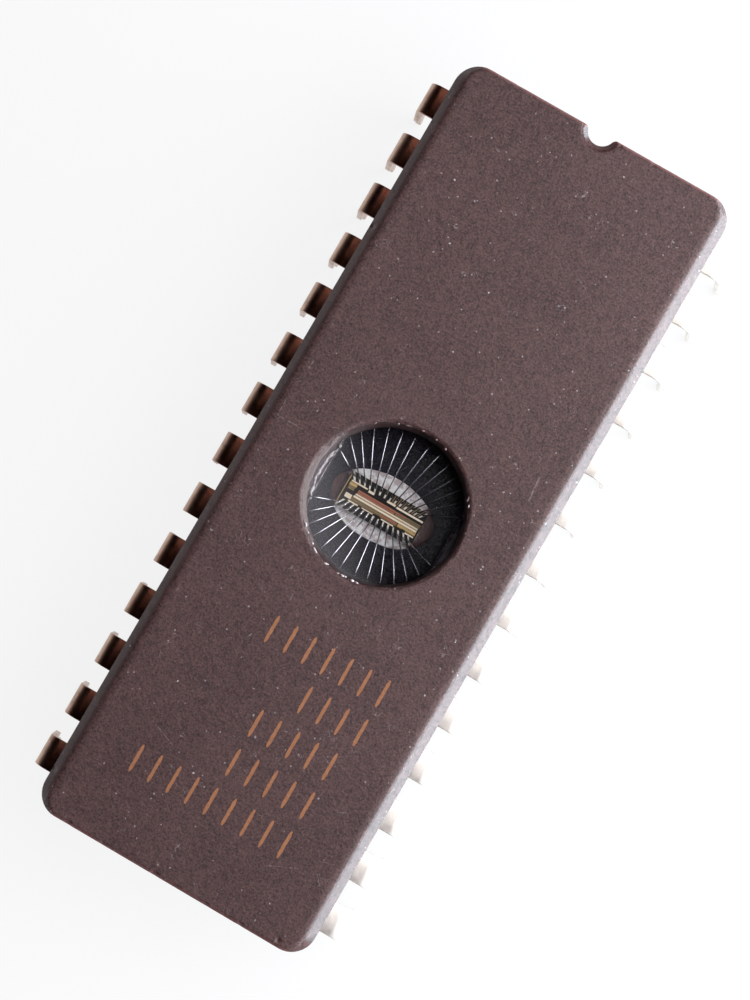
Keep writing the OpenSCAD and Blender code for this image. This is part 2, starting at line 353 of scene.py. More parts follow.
def ceramic(name, scratches=(), cavity=False):
    finish = Finish(name, IOR=CERAMIC_IOR)
    fine = finish.noise(10.0, detail=3.0, roughness=0.8)
    coarse = finish.noise(3.1, detail=3.0, roughness=0.7)
    grain = finish.calc("MULTIPLY_ADD", finish.calc("SUBTRACT", coarse, 0.5), 0.3, fine)
    clouds = finish.noise(0.25, detail=3.0)
    tone = finish.calc("ADD", finish.calc("MULTIPLY", finish.calc("SUBTRACT", grain, 0.5), 4.2),
                       finish.calc("MULTIPLY_ADD", clouds, 0.5, 0.25), clamp=True)
    colour = finish.mix(tone, CERAMIC_DARK, CERAMIC_LIGHT)
    warm = finish.spread(finish.noise(6.0, detail=2.0), 0.5, 0.7, 0.0, 0.4)
    colour = finish.mix(warm, colour, CERAMIC_WARM)
    speck = finish.calc("MAXIMUM",
                        finish.calc("MULTIPLY", sparse_points(finish, 1.6, 0.16, 0.05), 0.85),
                        finish.calc("MULTIPLY", sparse_points(finish, 3.6, 0.16, 0.05), 0.45))
    speck = finish.calc("MAXIMUM", speck,
                        finish.calc("MULTIPLY", short_curls(finish, 2.8, 0.014), 0.3))
    colour = finish.mix(speck, colour, SPECK)
    scratched = None
    for start, end, half_width in scratches:
        mask = scratch_mask(finish, start, end, half_width)
        scratched = mask if scratched is None else finish.calc("MAXIMUM", scratched, mask)
    if scratched is not None:
        broken = finish.spread(finish.noise(5.0), 0.35, 0.6)
        colour = finish.mix(finish.calc("MULTIPLY", finish.calc("MULTIPLY", scratched, broken), 0.5),
                            colour, SCRATCH_TONE)
    rough = finish.spread(grain, 0.3, 0.7, CERAMIC_ROUGH + 0.05, CERAMIC_ROUGH - 0.05)
    smooth = pressed_edge(finish)
    level = finish.calc("MULTIPLY_ADD", smooth, -0.9, 1.0)
    x, y, z = finish.axes()
    # The thin band along both ends is painted lighter and redder: a painted highlight of the small end
    # bevel.
    end_highlight_band = finish.spread(finish.calc("ABSOLUTE", y), BODY_L / 2 - 0.13, BODY_L / 2 - 0.09)
    colour = finish.mix(finish.calc("MULTIPLY", end_highlight_band, 0.5), colour, END_HIGHLIGHT_TONE)
    if cavity:
        # The walls and floor of the cavity are painted near black with a blue-purple tint: painted
        # shade of the deep recess under the lid, tinted for the sheen seen there.
        inside = in_cavity(finish)
        colour = finish.mix(inside, colour, CAVITY_SHADE_TONE)
        smooth = finish.calc("MAXIMUM", smooth, inside)
        level = finish.calc("MULTIPLY", level, finish.calc("SUBTRACT", 1.0, inside))
    rough = finish.calc("MULTIPLY_ADD", smooth, -0.2, rough)
    height = finish.calc("MULTIPLY", finish.noise(4.5, detail=5.0, roughness=0.7), level)
    return finish.finish(Base_Color=colour, Roughness=rough, Normal=finish.bump(height, 0.02))


CAVITY_W, CAVITY_L, CAVITY_R = 6.4, 7.7, 0.6
LONG_BEVEL_W, LONG_BEVEL_H = 0.46, 0.42
NOTCH_R, NOTCH_OUT, NOTCH_FILLET, NOTCH_BEVEL = 0.62, 0.06, 0.22, 0.26
# Near-black blue-purple of the cavity: painted shade, tinted for the sheen.
CAVITY_SHADE_TONE = seen(22, 20, 32)
lid_ceramic = ceramic("lid_ceramic", SCRATCHES)
base_ceramic = ceramic("base_ceramic", cavity=True)
print("scratches on the lid:", len(SCRATCHES))

# %% [markdown]
# ## The plan of the body
#
# Lid and base have the same plan: a rectangle with round corners and a notch in one end. The
# solids have this outline already, but their edges are single facets. To give them soft edges
# and small chips, each slab is made again as a fine skin: the outline is walked as lines and
# arcs, copies of it are set inward ring by ring, and a height rule lowers each ring.

# %% Outline of the body as lines and arcs
CORNER_R = 1.1
END_BEVEL = 0.1
STEP = 0.18


def arc(centre, radius, start, end, step=STEP):
    """Points of an arc from one angle to another, in degrees, without its last point."""
    count = max(6, round(abs(math.radians(end - start)) * radius / step))
    angles = [math.radians(start + (end - start) * i / count) for i in range(count)]
    return [(centre[0] + radius * math.cos(a), centre[1] + radius * math.sin(a)) for a in angles]


def line(start, end, step=STEP):
    """Points of a line, without its last point."""
    count = max(1, round(math.dist(start, end) / step))
    return [(start[0] + (end[0] - start[0]) * i / count,
             start[1] + (end[1] - start[1]) * i / count) for i in range(count)]


def body_outline():
    """The plan of the body, walked anticlockwise from its right side."""
    x, y, r = BODY_W / 2, BODY_L / 2, CORNER_R
    reach = NOTCH_R + NOTCH_FILLET
    mouth = math.sqrt(reach ** 2 - (NOTCH_FILLET + NOTCH_OUT) ** 2)
    meet = math.degrees(math.atan2(-NOTCH_FILLET - NOTCH_OUT, mouth))
    points = line((x, r - y), (x, y - r)) + arc((x - r, y - r), r, 0, 90)
    points += line((x - r, y), (mouth, y))
    points += arc((mouth, y - NOTCH_FILLET), NOTCH_FILLET, 90, 180 + meet, 0.04)
    points += arc((0, y + NOTCH_OUT), NOTCH_R, meet, -180 - meet, 0.06)
    points += arc((-mouth, y - NOTCH_FILLET), NOTCH_FILLET, -meet, 90, 0.04)
    points += line((-mouth, y), (r - x, y)) + arc((r - x, y - r), r, 90, 180)
    points += line((-x, y - r), (-x, r - y)) + arc((r - x, r - y), r, 180, 270)
    points += line((r - x, -y), (x - r, -y)) + arc((x - r, r - y), r, 270, 360)
    return points


OUTLINE = body_outline()
print("points round the body:", len(OUTLINE))


# %% Rings set inward from the outline
def turned_normals(loop):
    """The inward direction at each point of an anticlockwise loop."""
    pts = np.array(loop)
    way = np.roll(pts, -1, 0) - np.roll(pts, 1, 0)
    way /= np.linalg.norm(way, axis=1)[:, None]
    return np.stack([-way[:, 1], way[:, 0]], axis=1)


def inner_rings(loop, insets):
    """Points of the loop moved inward, kept only where they are really that far inside."""
    tree = KDTree(len(loop))
    for i, (x, y) in enumerate(loop):
        tree.insert((x, y, 0), i)
    tree.balance()
    pts, inward = np.array(loop), turned_normals(loop)
    kept = []
    for inset in insets:
        for x, y in pts + inset * inward:
            if tree.find((x, y, 0))[2] >= 0.97 * inset:
                kept.append((float(x), float(y)))
    return kept


def inside_loop(loop, points):
    """Which points lie inside a closed loop."""
    a, b = np.array(loop), np.roll(np.array(loop), -1, 0)
    p = np.array(points)
    hits = np.zeros(len(p), int)
    for (x1, y1), (x2, y2) in zip(a, b):
        crosses = (y1 > p[:, 1]) != (y2 > p[:, 1])
        with np.errstate(divide="ignore", invalid="ignore"):
            at = (x2 - x1) * (p[:, 1] - y1) / (y2 - y1) + x1
        hits += crosses & (p[:, 0] < at)
    return hits % 2 == 1


def fill_plan(loops, extra=()):
    """Triangles that fill the first loop around the others, and all their points."""
    points, edges = [], []
    for loop in loops:
        first = len(points)
        points += loop
        edges += [(first + i, first + (i + 1) % len(loop)) for i in range(len(loop))]
    points += list(extra)
    got = delaunay_2d_cdt([Vector(p) for p in points], edges, [], 0, 1e-7)
    coordinates = [tuple(v) for v in got[0]]
    faces = [tuple(f) for f in got[2]]
    middles = [tuple(sum(coordinates[i][k] for i in f) / 3 for k in range(2)) for f in faces]
    keep = inside_loop(loops[0], middles)
    for loop in loops[1:]:
        keep &= ~inside_loop(loop, middles)
    return coordinates, [f for f, k in zip(faces, keep) if k]


# %% [markdown]
# ## Lid and base as fine skins
#
# The long edges have a wide bevel, the ends only a small one, and the notch has a sloped rim, all
# as in the solids. On the real slab the wide bevel runs a little round the corners and narrows
# there, and its upper line is soft. A few chips sit on the ends, where pressed ceramic breaks
# first. A chip is a small dip in the height rule, with some extra points round it so that the
# skin can follow. The skin could also be sculpted, but the rule keeps every edge at its width.

# %% Height of the outer face of a slab
CHIPS = [
    (-4.9, -18.46, 0.16, 0.10), (-3.2, -18.48, 0.10, 0.06), (-0.6, -18.47, 0.20, 0.09),
    (1.9, -18.48, 0.12, 0.07), (3.6, -18.46, 0.15, 0.08), (5.35, -18.2, 0.14, 0.08),
    (-6.55, -16.8, 0.14, 0.06), (2.6, 18.47, 0.12, 0.06), (-4.1, 18.48, 0.1, 0.05),
    (-6.5, 10.1, 0.12, 0.07), (0.95, 18.4, 0.12, 0.08),
]


SOFTNESS = 1.1
NOTCH_SLOPE = 0.78


def bevel_drop(inset, width, height):
    """Drop of a bevel at a distance inside the edge. Its upper line is soft."""
    return height * max(0.0, 1 - max(0.0, inset) / width) ** SOFTNESS


def edge_drop(x, y):
    """Drop of the bevels along the sides, the ends and round the corners."""
    to_side, to_end = BODY_W / 2 - abs(x), BODY_L / 2 - abs(y)
    if to_side >= CORNER_R or to_end >= CORNER_R:
        return max(bevel_drop(to_side, LONG_BEVEL_W, LONG_BEVEL_H),
                   bevel_drop(to_end, END_BEVEL, END_BEVEL))
    from_axis = math.hypot(CORNER_R - to_side, CORNER_R - to_end)
    share = ((CORNER_R - to_side) / max(from_axis, 1e-6)) ** 1.3
    width = END_BEVEL + (LONG_BEVEL_W - END_BEVEL) * share
    height = END_BEVEL + (LONG_BEVEL_H - END_BEVEL) * share
    return bevel_drop(CORNER_R - from_axis, width, height)


def notch_drop(x, y):
    inside = NOTCH_R + NOTCH_BEVEL - math.hypot(x, y - BODY_L / 2 - NOTCH_OUT)
    return max(0.0, NOTCH_SLOPE * inside)


def chip_drop(x, y, chips):
    drop = 0.0
    for cx, cy, radius, depth in chips:
        away = math.hypot(x - cx, y - cy) / radius
        if away < 1:
            drop += depth * (1 - away ** 2) * (0.7 + 0.6 * noise.noise((x * 9, y * 9, 0)))
    return max(0.0, drop)


def chip_points(chips):
    """Extra points on and round each chip."""
    points = []
    for cx, cy, radius, _ in chips:
        points.append((cx, cy))
        for ring in (0.35, 0.7, 1.0):
            points += arc((cx, cy), ring * radius, 0, 360, 0.05)
    return points


# %% Window rim
RIM_BEVEL = 0.08


def rim_width(angle):
    """How far the bevel of the window's hole reaches, with small breaks in it."""
    rough = noise.noise((math.cos(angle) * 6, math.sin(angle) * 6, 3.1))
    fine = noise.noise((math.cos(angle) * 22, math.sin(angle) * 22, 7.7))
    return RIM_BEVEL * (1 + 0.45 * rough + 0.5 * max(0.0, fine - 0.1))


def rim_drop(x, y):
    away = math.hypot(x, y) - WINDOW_R
    width = rim_width(math.atan2(y, x))
    return max(0.0, width - away)


# %% Build a slab from its rules
INSETS = (0.012, 0.035, 0.07, 0.11, 0.17, 0.24, 0.32, 0.41, 0.52, 0.75)
HOLE_INSETS = (0.025, 0.05, 0.08, 0.12, 0.18, 0.4)
WALL_LINE = 0.65


def make_piece(name, points, faces, material, replaces=(), smooth=True):
    """A mesh piece from points in millimetres. It rides on the chip's one body."""
    mesh = bpy.data.meshes.new(name)
    mesh.from_pydata([Vector(p) * MM for p in points], [], faces)
    work = bmesh.new()
    work.from_mesh(mesh)
    bmesh.ops.remove_doubles(work, verts=work.verts, dist=1e-8)
    bmesh.ops.recalc_face_normals(work, faces=work.faces)
    work.to_mesh(mesh)
    work.free()
    mesh.materials.append(material)
    for polygon in mesh.polygons:
        polygon.use_smooth = smooth
    piece = bpy.data.objects.new(name, mesh)
    scene.collection.objects.link(piece)
    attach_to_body(piece, "root")
    if replaces:
        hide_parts(*replaces)
    return piece


def keep_creases(piece, degrees=40):
    """Shades a piece smooth, but keeps edges sharper than this as true edges."""
    piece.data.set_sharp_from_angle(angle=math.radians(degrees))


def loop_wall(points, faces, upper, lower):
    """Adds a wall between two loops with as many points each."""
    first = len(points)
    points += upper + lower
    n = len(upper)
    for i in range(n):
        j = (i + 1) % n
        faces.append((first + i, first + j, first + n + j, first + n + i))


def slab_skin(height, hole, hole_through, chips, seam_z, outward):
    """Skin of a slab. height is the slab's thickness at a place, hole a loop cut in its seam face."""
    loops = [OUTLINE] + ([hole] if hole_through else [])
    extra = inner_rings(OUTLINE, INSETS) + chip_points(chips)
    if hole_through:
        for inset in HOLE_INSETS:
            extra += arc((0, 0), WINDOW_R + inset, 0, 360, 0.11)
    inside = inside_loop(OUTLINE, extra)
    if hole_through:
        inside &= ~inside_loop(hole, extra)
    extra = [p for p, k in zip(extra, inside) if k]
    plan, triangles = fill_plan(loops, extra)
    points = [(x, y, seam_z + outward * height(x, y)) for x, y in plan]
    faces = list(triangles)
    seam, seam_triangles = fill_plan([OUTLINE, hole])
    first = len(points)
    points += [(x, y, seam_z) for x, y in seam]
    faces += [tuple(first + i for i in f) for f in seam_triangles]
    thick = max(height(x, y) for x, y in plan)
    rims = [[(x, y, seam_z + outward * height(x, y)) for x, y in OUTLINE],
            [(x, y, seam_z + outward * (thick - WALL_LINE)) for x, y in OUTLINE],
            [(x, y, seam_z) for x, y in OUTLINE]]
    for upper, lower in zip(rims, rims[1:]):
        loop_wall(points, faces, upper, lower)
    return points, faces


# %% Lid
def lid_height(x, y):
    drop = max(edge_drop(x, y), notch_drop(x, y), rim_drop(x, y))
    return LID_HIGH.z - LID_LOW.z - drop - chip_drop(x, y, CHIPS)


window_loop = arc((0, 0), WINDOW_R, 0, 360, 0.11)
points, faces = slab_skin(lid_height, window_loop, True, CHIPS, LID_LOW.z, 1)
loop_wall(points, faces,
          [(x, y, LID_LOW.z + lid_height(x, y)) for x, y in window_loop],
          [(x, y, LID_LOW.z) for x, y in window_loop])
lid = make_piece("lid_shell", points, faces, lid_ceramic, ["ceramic_lid"])
keep_creases(lid)
print("lid skin:", len(lid.data.polygons), "faces")

# %% Base with its die cavity
CAVITY_Z = ATTACH_LOW.z
BASE_CHIPS = [(-x, y, radius, depth) for x, y, radius, depth in CHIPS[:6]]


def cavity_loop(grow=0.0, step=STEP):
    x, y, r = CAVITY_W / 2 + grow, CAVITY_L / 2 + grow, CAVITY_R + grow
    points = line((x, r - y), (x, y - r), step) + arc((x - r, y - r), r, 0, 90, step)
    points += line((x - r, y), (r - x, y), step) + arc((r - x, y - r), r, 90, 180, step)
    points += line((-x, y - r), (-x, r - y), step) + arc((r - x, r - y), r, 180, 270, step)
    points += line((r - x, -y), (x - r, -y), step) + arc((x - r, r - y), r, 270, 360, step)
    return points


def base_height(x, y):
    drop = max(edge_drop(x, y), notch_drop(x, y))
    return BASE_HIGH.z - BASE_LOW.z - drop - chip_drop(x, y, BASE_CHIPS)


cavity = cavity_loop()
points, faces = slab_skin(base_height, cavity, False, BASE_CHIPS, BASE_HIGH.z, -1)
loop_wall(points, faces, [(x, y, BASE_HIGH.z) for x, y in cavity],
          [(x, y, CAVITY_Z) for x, y in cavity])
floor_plan, floor_faces = fill_plan([cavity])
first = len(points)
points += [(x, y, CAVITY_Z) for x, y in floor_plan]
faces += [tuple(first + i for i in f) for f in floor_faces]
base = make_piece("base_shell", points, faces, base_ceramic, ["ceramic_base"])
keep_creases(base)
print("base skin:", len(base.data.polygons), "faces")

# %% [markdown]
# ## Sealing glass
#
# Between the slabs lies a dark grey-purple glass that was powder, and melted round the leads. It
# stays a plain slab here, because only its edge shows. Along the cavity it flowed over and froze
# as a lumpy bead, and the light catches it as a broken bright line inside the window. A tube
# with noise in its radius gives that bead its lumps.

# %% Sealing glass finish
SEAL_IOR = 1.95


def sealing_glass(name, dark, light, roughness):
    finish = Finish(name, Roughness=roughness, IOR=SEAL_IOR)
    patches = finish.noise(2.2, detail=3.0)
    normal = finish.bump(finish.noise(2.6, detail=3.0), 0.05)
    return finish.finish(Base_Color=finish.mix(patches, dark, light), Normal=normal)


seal_finish = sealing_glass("sealing_glass", seen(56, 47, 54), seen(102, 91, 103), 0.32)
bead_finish = sealing_glass("sealing_glass_bead", seen(40, 36, 44), seen(84, 78, 92), 0.1)
frame["nodes"]["seal_glass"].data.materials.clear()
frame["nodes"]["seal_glass"].data.materials.append(seal_finish)


# %% Bead of sealing glass along the cavity
def lumpy_tube(centres, radius_at, sides=10):
    """A closed tube through a ring of points, with its own radius at each."""
    count = len(centres)
    points, faces = [], []
    for i, centre in enumerate(centres):
        way = (Vector(centres[(i + 1) % count]) - Vector(centres[i - 1])).normalized()
        side = way.cross(Vector((0, 0, 1))).normalized()
        for k in range(sides):
            turn = 2 * math.pi * k / sides
            out = side * math.cos(turn) + Vector((0, 0, 1)) * math.sin(turn)
            points.append(Vector(centre) + radius_at(i) * out)
    for i in range(count):
        j = (i + 1) % count
        for k in range(sides):
            m = (k + 1) % sides
            faces.append((i * sides + k, i * sides + m, j * sides + m, j * sides + k))
    return points, faces


LEAD_TOP_Z = 6.4
bead_path = [(x, y, LEAD_TOP_Z - 0.03) for x, y in cavity_loop(0.0, 0.05)]
points, faces = lumpy_tube(
    bead_path,
    lambda i: 0.075 + 0.045 * noise.noise(Vector(bead_path[i]) * 4.5)
    + 0.03 * noise.noise(Vector(bead_path[i]) * 14),
)
bead = make_piece("seal_bead", points, faces, bead_finish)
print("bead:", len(bead.data.polygons), "faces")

# %% [markdown]
# ## Leads
#
# A lead is stamped from strip and then formed. The blank is flat: an inner finger, a wide
# shoulder, a wide shank and a narrow pointed tip. Forming bends it down beside the body. Each
# lead is made here the same way: a flat blank of stations is laid out first, and one rule then
# carries every point round the bend. The solid has the same form, but with coarse facets at the
# bend, which would show in the metal's reflections.

# %% Sizes of a lead
PER_ROW = 14
PITCH = 2.54
ROW_HALF = 7.7
LEAD_T = 0.25
SHANK_W, TIP_W, POINT_W = 1.45, 0.46, 0.2
TIP_L, TAPER_H, POINT_H = 3.3, 0.35, 0.6
BEND_R, SPLAY = 0.6, math.radians(4)
EMBED_L, TURN_X = 0.9, 4.9
FINGER_W, FINGER_TIP_W = 0.6, 0.28
FAN_STEP = math.radians(132 / (PER_ROW - 1))
BOND_IN = 0.25
EDGE_R = 0.035

BEND_X = ROW_HALF - BEND_R
BEND_IN_R = BEND_R - LEAD_T
BEND_Z = LEAD_TOP_Z - BEND_R
BEND_MID_R = BEND_R - LEAD_T / 2
BEND_TURN = math.pi / 2 - SPLAY
BEND_RUN = BEND_MID_R * BEND_TURN
LEG_L = (BEND_Z + BEND_IN_R * math.sin(SPLAY)) / math.cos(SPLAY)


def row_y(place):
    return ((PER_ROW - 1) / 2 - place) * PITCH


def edge_point(place):
    """Where the finger of this place meets the cavity, in the quarter +X +Y."""
    at = math.pi / 2 - FAN_STEP * (place + 0.5)
    reach = min(CAVITY_W / 2 / math.cos(at), CAVITY_L / 2 / math.sin(at))
    return Vector((reach * math.cos(at), reach * math.sin(at)))


def finger_way(place):
    return (Vector((TURN_X, row_y(place))) - edge_point(place)).normalized()


# %% Flat blank of a lead
def cut_back(point, way):
    """Slides a point along the finger to the cavity's edge."""
    beyond = []
    if way.x > 1e-6:
        beyond.append((CAVITY_W / 2 - point.x) / way.x)
    if way.y > 1e-6:
        beyond.append((CAVITY_L / 2 - point.y) / way.y)
    return point + way * min(b for b in beyond if b > -1.0)


def blank(place):
    """Pairs of points across the flat lead, from its inner end to its tip."""
    y, way = row_y(place), finger_way(place)
    turn = Vector((TURN_X, y))
    normal = Vector((way.y, -way.x))
    mitre = (Vector((0, -1)) + normal) / (1 - normal.y)
    tip = edge_point(place) - way * BOND_IN
    ends = [cut_back(tip + normal * FINGER_TIP_W / 2 * s, way) for s in (1, -1)]
    bends = [turn + mitre * FINGER_W / 2 * s for s in (1, -1)]
    stations = [tuple(ends)]
    stations += [tuple(a.lerp(b, t) for a, b in zip(ends, bends)) for t in (0.3, 0.7)]
    stations.append(tuple(bends))

    def across(x, width):
        stations.append((Vector((x, y - width / 2)), Vector((x, y + width / 2))))

    across(BODY_W / 2 - EMBED_L, SHANK_W)
    across(BODY_W / 2, SHANK_W)
    for i in range(13):
        across(BEND_X + BEND_RUN * i / 12, SHANK_W)
    leg = BEND_X + BEND_RUN
    seat = LEG_L - TIP_L / math.cos(SPLAY)
    for x, width in ((seat - TAPER_H - 0.9, SHANK_W), (seat - TAPER_H, SHANK_W), (seat, TIP_W),
                     (seat + 1.2, TIP_W), (LEG_L - POINT_H, TIP_W), (LEG_L - 0.03, POINT_W + 0.02),
                     (LEG_L, POINT_W)):
        across(leg + x, width)
    return stations


def form(point, height):
    """Carries a point of the blank, at a height above its lower face, round the bend."""
    x, y = point
    run = x - BEND_X
    radius = BEND_IN_R + height
    if run <= 0:
        return Vector((x, y, BEND_Z + radius))
    turn = min(run / BEND_MID_R, BEND_TURN)
    rest = run - BEND_MID_R * turn
    return Vector((
        BEND_X + radius * math.sin(turn) + rest * math.cos(turn),
        y,
        BEND_Z + radius * math.cos(turn) - rest * math.sin(turn),
    ))


# %% Loft a lead through its stations
def lead_mesh(place):
    """Points and faces of a lead in the quarter +X +Y, its long edges rounded."""
    points, faces = [], []
    stations = blank(place)
    for left, right in stations:
        way = (right - left).normalized()
        e = min(EDGE_R, (right - left).length / 5)
        ring = [(left, e), (left, LEAD_T - e), (left + way * e * 0.3, LEAD_T - e * 0.3),
                (left + way * e, LEAD_T), (right - way * e, LEAD_T),
                (right - way * e * 0.3, LEAD_T - e * 0.3), (right, LEAD_T - e), (right, e),
                (right - way * e * 0.3, e * 0.3), (right - way * e, 0.0), (left + way * e, 0.0),
                (left + way * e * 0.3, e * 0.3)]
        points += [form(p, h) for p, h in ring]
    ring_size = 12
    for i in range(len(stations) - 1):
        for k in range(ring_size):
            m = (k + 1) % ring_size
            a, b = i * ring_size, (i + 1) * ring_size
            faces.append((a + k, a + m, b + m, b + k))
    faces.append(tuple(range(ring_size)))
    last = (len(stations) - 1) * ring_size
    faces.append(tuple(last + k for k in reversed(range(ring_size))))
    return points, faces


# %% [markdown]
# ### Tin plate: tarnish, and a painted highlight on the right
#
# The leads are tin plated. The row on the left has turned a warm brown, most of all next to the
# body. The row on the right is painted near white, with fewer stains: a painted highlight for the
# strong light on that side. Metal has no colour of its own under the reflections, so the tarnish
# and the painted highlight are a tint of the metal, driven by the place on the chip, with a few
# stains and a roughness that wanders.

# %% Lead finish
def tin_tarnish_and_highlight():
    finish = Finish("tin_tarnish_and_highlight", Metallic=1.0)
    x, y, z = finish.axes()
    from_body = finish.calc("SUBTRACT", finish.calc("ABSOLUTE", x), BODY_W / 2)
    uneven = finish.calc("MULTIPLY", finish.calc("SUBTRACT", finish.noise(0.8), 0.5), 0.5)
    pale = finish.spread(finish.calc("ADD", from_body, uneven), 0.5, 1.15)
    brown = finish.mix(pale, seen(124, 76, 60), seen(196, 170, 152))
    # The near-white tone and the mask below paint the right row (x > 0) pale: a painted highlight for
    # the strong light on that side; the left row keeps the brown tarnish.
    bright = finish.mix(pale, seen(240, 234, 226), seen(250, 247, 242))
    right = finish.spread(x, -0.5, 0.5)
    colour = finish.mix(right, brown, bright)
    stains = finish.spread(finish.noise(2.2, detail=4.0), 0.5, 0.75, 0.0, 0.45)
    # Stains are mostly kept off the right row, as part of the same painted highlight.
    stains = finish.calc("MULTIPLY", stains, finish.calc("MULTIPLY_ADD", right, -0.8, 1.0))
    colour = finish.mix(stains, colour, seen(92, 54, 42), "MULTIPLY")
    rough = finish.spread(finish.noise(1.4, detail=3.0), 0.3, 0.7, 0.26, 0.4)
    rough = finish.calc("MULTIPLY_ADD", right, 0.18, rough)
    normal = finish.bump(finish.noise(1.2, detail=3.0), 0.012)
    return finish.finish(Base_Color=colour, Roughness=rough, Normal=normal)


lead_finish = tin_tarnish_and_highlight()

# %% All the leads
def quarter(n):
    """The place of a lead in its quarter, and the signs that mirror it there."""
    left = n <= PER_ROW
    place = n - 1 if left else 2 * PER_ROW - n
    far = place >= PER_ROW / 2
    return (PER_ROW - 1 - place if far else place), (-1 if left else 1), (-1 if far else 1)


worst = 0.0
for n in range(1, 2 * PER_ROW + 1):
    place, sx, sy = quarter(n)
    points, faces = lead_mesh(place)
    points = [(sx * p.x, sy * p.y, p.z) for p in points]
    name = f"lead_{n:02d}"
    lead = make_piece(f"formed_{name}", points, faces, lead_finish, [name])
    keep_creases(lead, 50)
    low, high = box_mm(name)
    made = [[f(p[k] for p in points) for k in range(3)] for f in (min, max)]
    off = max(abs(m - c) for row, corner in zip(made, (low, high)) for m, c in zip(row, corner))
    worst = max(worst, off)
print(f"{2 * PER_ROW} leads, at most {worst:.3f} mm off the packed ones")

# %% [markdown]
# ## Die attach and die
#
# Under the die lies an oval pad of silver-filled glass. It was soft when the die was pressed
# into it, so it stands up a little round the die, and its face is a lumpy satin. The die is a
# slice of silicon whose top shows the blocks of a memory: bright bands of metal, darker arrays
# between them, and a row of pads along each long edge. The blocks could be one texture, but thin
# plates keep their edges sharp at any distance, so each tone is one piece of thin plates.

# %% Attach pad
ATTACH_SEGMENTS = 72
ATTACH_RINGS = (1.0, 0.97, 0.9, 0.8, 0.68, 0.55, 0.4, 0.2)


def attach_finish():
    finish = Finish("silver_glass")
    x, y, z = finish.axes()
    from_die = finish.calc("ABSOLUTE", finish.calc("SUBTRACT", x, (DIE_LOW.x + DIE_HIGH.x) / 2))
    wavy = finish.calc("MULTIPLY", finish.calc("SUBTRACT", finish.noise(1.5), 0.5), 0.9)
    brown = finish.spread(finish.calc("ADD", from_die, wavy), 1.7, 2.1)
    lumps = finish.noise(2.8, detail=4.0)
    silver = finish.mix(finish.spread(lumps, 0.4, 0.56), seen(206, 192, 192), seen(255, 255, 255))
    colour = finish.mix(brown, silver, seen(84, 56, 54))
    normal = finish.bump(lumps, 0.08)
    return finish.finish(Base_Color=colour, Roughness=0.42, Normal=normal)


middle = (ATTACH_LOW + ATTACH_HIGH) / 2
half_x, half_y = (ATTACH_HIGH - ATTACH_LOW).x / 2, (ATTACH_HIGH - ATTACH_LOW).y / 2
points, faces = [], []
for share in ATTACH_RINGS:
    for i in range(ATTACH_SEGMENTS):
        turn = 2 * math.pi * i / ATTACH_SEGMENTS
        ripple = 1 + 0.025 * noise.noise((2 * math.cos(turn), 2 * math.sin(turn), 0.4))
        x = middle.x + half_x * share * ripple * math.cos(turn)
        y = middle.y + half_y * share * ripple * math.sin(turn)
        rise = 0.02 + 0.2 * (1 - share ** 2) * (0.9 + 0.4 * noise.noise((x * 1.5, y * 1.5, 2)))
        inner_x = abs(x - middle.x) < (DIE_HIGH.x - DIE_LOW.x) / 2 - 0.05
        inner_y = abs(y - middle.y) < (DIE_HIGH.y - DIE_LOW.y) / 2 - 0.05
        if inner_x and inner_y:
            rise = min(rise, ATTACH_HIGH.z - ATTACH_LOW.z)
        points.append((x, y, ATTACH_LOW.z + rise))
for r in range(len(ATTACH_RINGS) - 1):
    for i in range(ATTACH_SEGMENTS):
        j = (i + 1) % ATTACH_SEGMENTS
        a, b = r * ATTACH_SEGMENTS, (r + 1) * ATTACH_SEGMENTS
        faces.append((a + i, a + j, b + j, b + i))
last = (len(ATTACH_RINGS) - 1) * ATTACH_SEGMENTS
faces.append(tuple(last + i for i in range(ATTACH_SEGMENTS)))
first = len(points)
points += [(x, y, ATTACH_LOW.z) for x, y, z in points[:ATTACH_SEGMENTS]]
for i in range(ATTACH_SEGMENTS):
    j = (i + 1) % ATTACH_SEGMENTS
    faces.append((i, first + i, first + j, j))
faces.append(tuple(first + i for i in reversed(range(ATTACH_SEGMENTS))))
attach = make_piece("attach_pad", points, faces, attach_finish(), ["die_attach"])
print("attach pad:", len(attach.data.polygons), "faces")

# %% Tones of the die
DIE_L = DIE_HIGH.x - DIE_LOW.x
DIE_W = DIE_HIGH.y - DIE_LOW.y
DIE_MIDDLE = (DIE_LOW + DIE_HIGH) / 2


def die_tone(name, light, dark, stripe, metallic=0.5, roughness=0.3):
    """A die finish with very fine stripes, as rows of memory cells look."""
    finish = Finish(name, Metallic=metallic, Roughness=roughness)
    x, y, z = finish.axes()
    cells = finish.calc("SINE", finish.calc("MULTIPLY", x, 2 * math.pi / stripe))
    rows = finish.calc("SINE", finish.calc("MULTIPLY", y, 2 * math.pi / (stripe * 2.3)))
    lines = finish.spread(finish.calc("ADD", cells, rows), -1.2, 1.4)
    blotch = finish.noise(6.0, detail=2.0)
    share = finish.calc("MULTIPLY_ADD", lines, 0.55, finish.calc("MULTIPLY", blotch, 0.45))
    return finish.finish(Base_Color=finish.mix(share, dark, light))


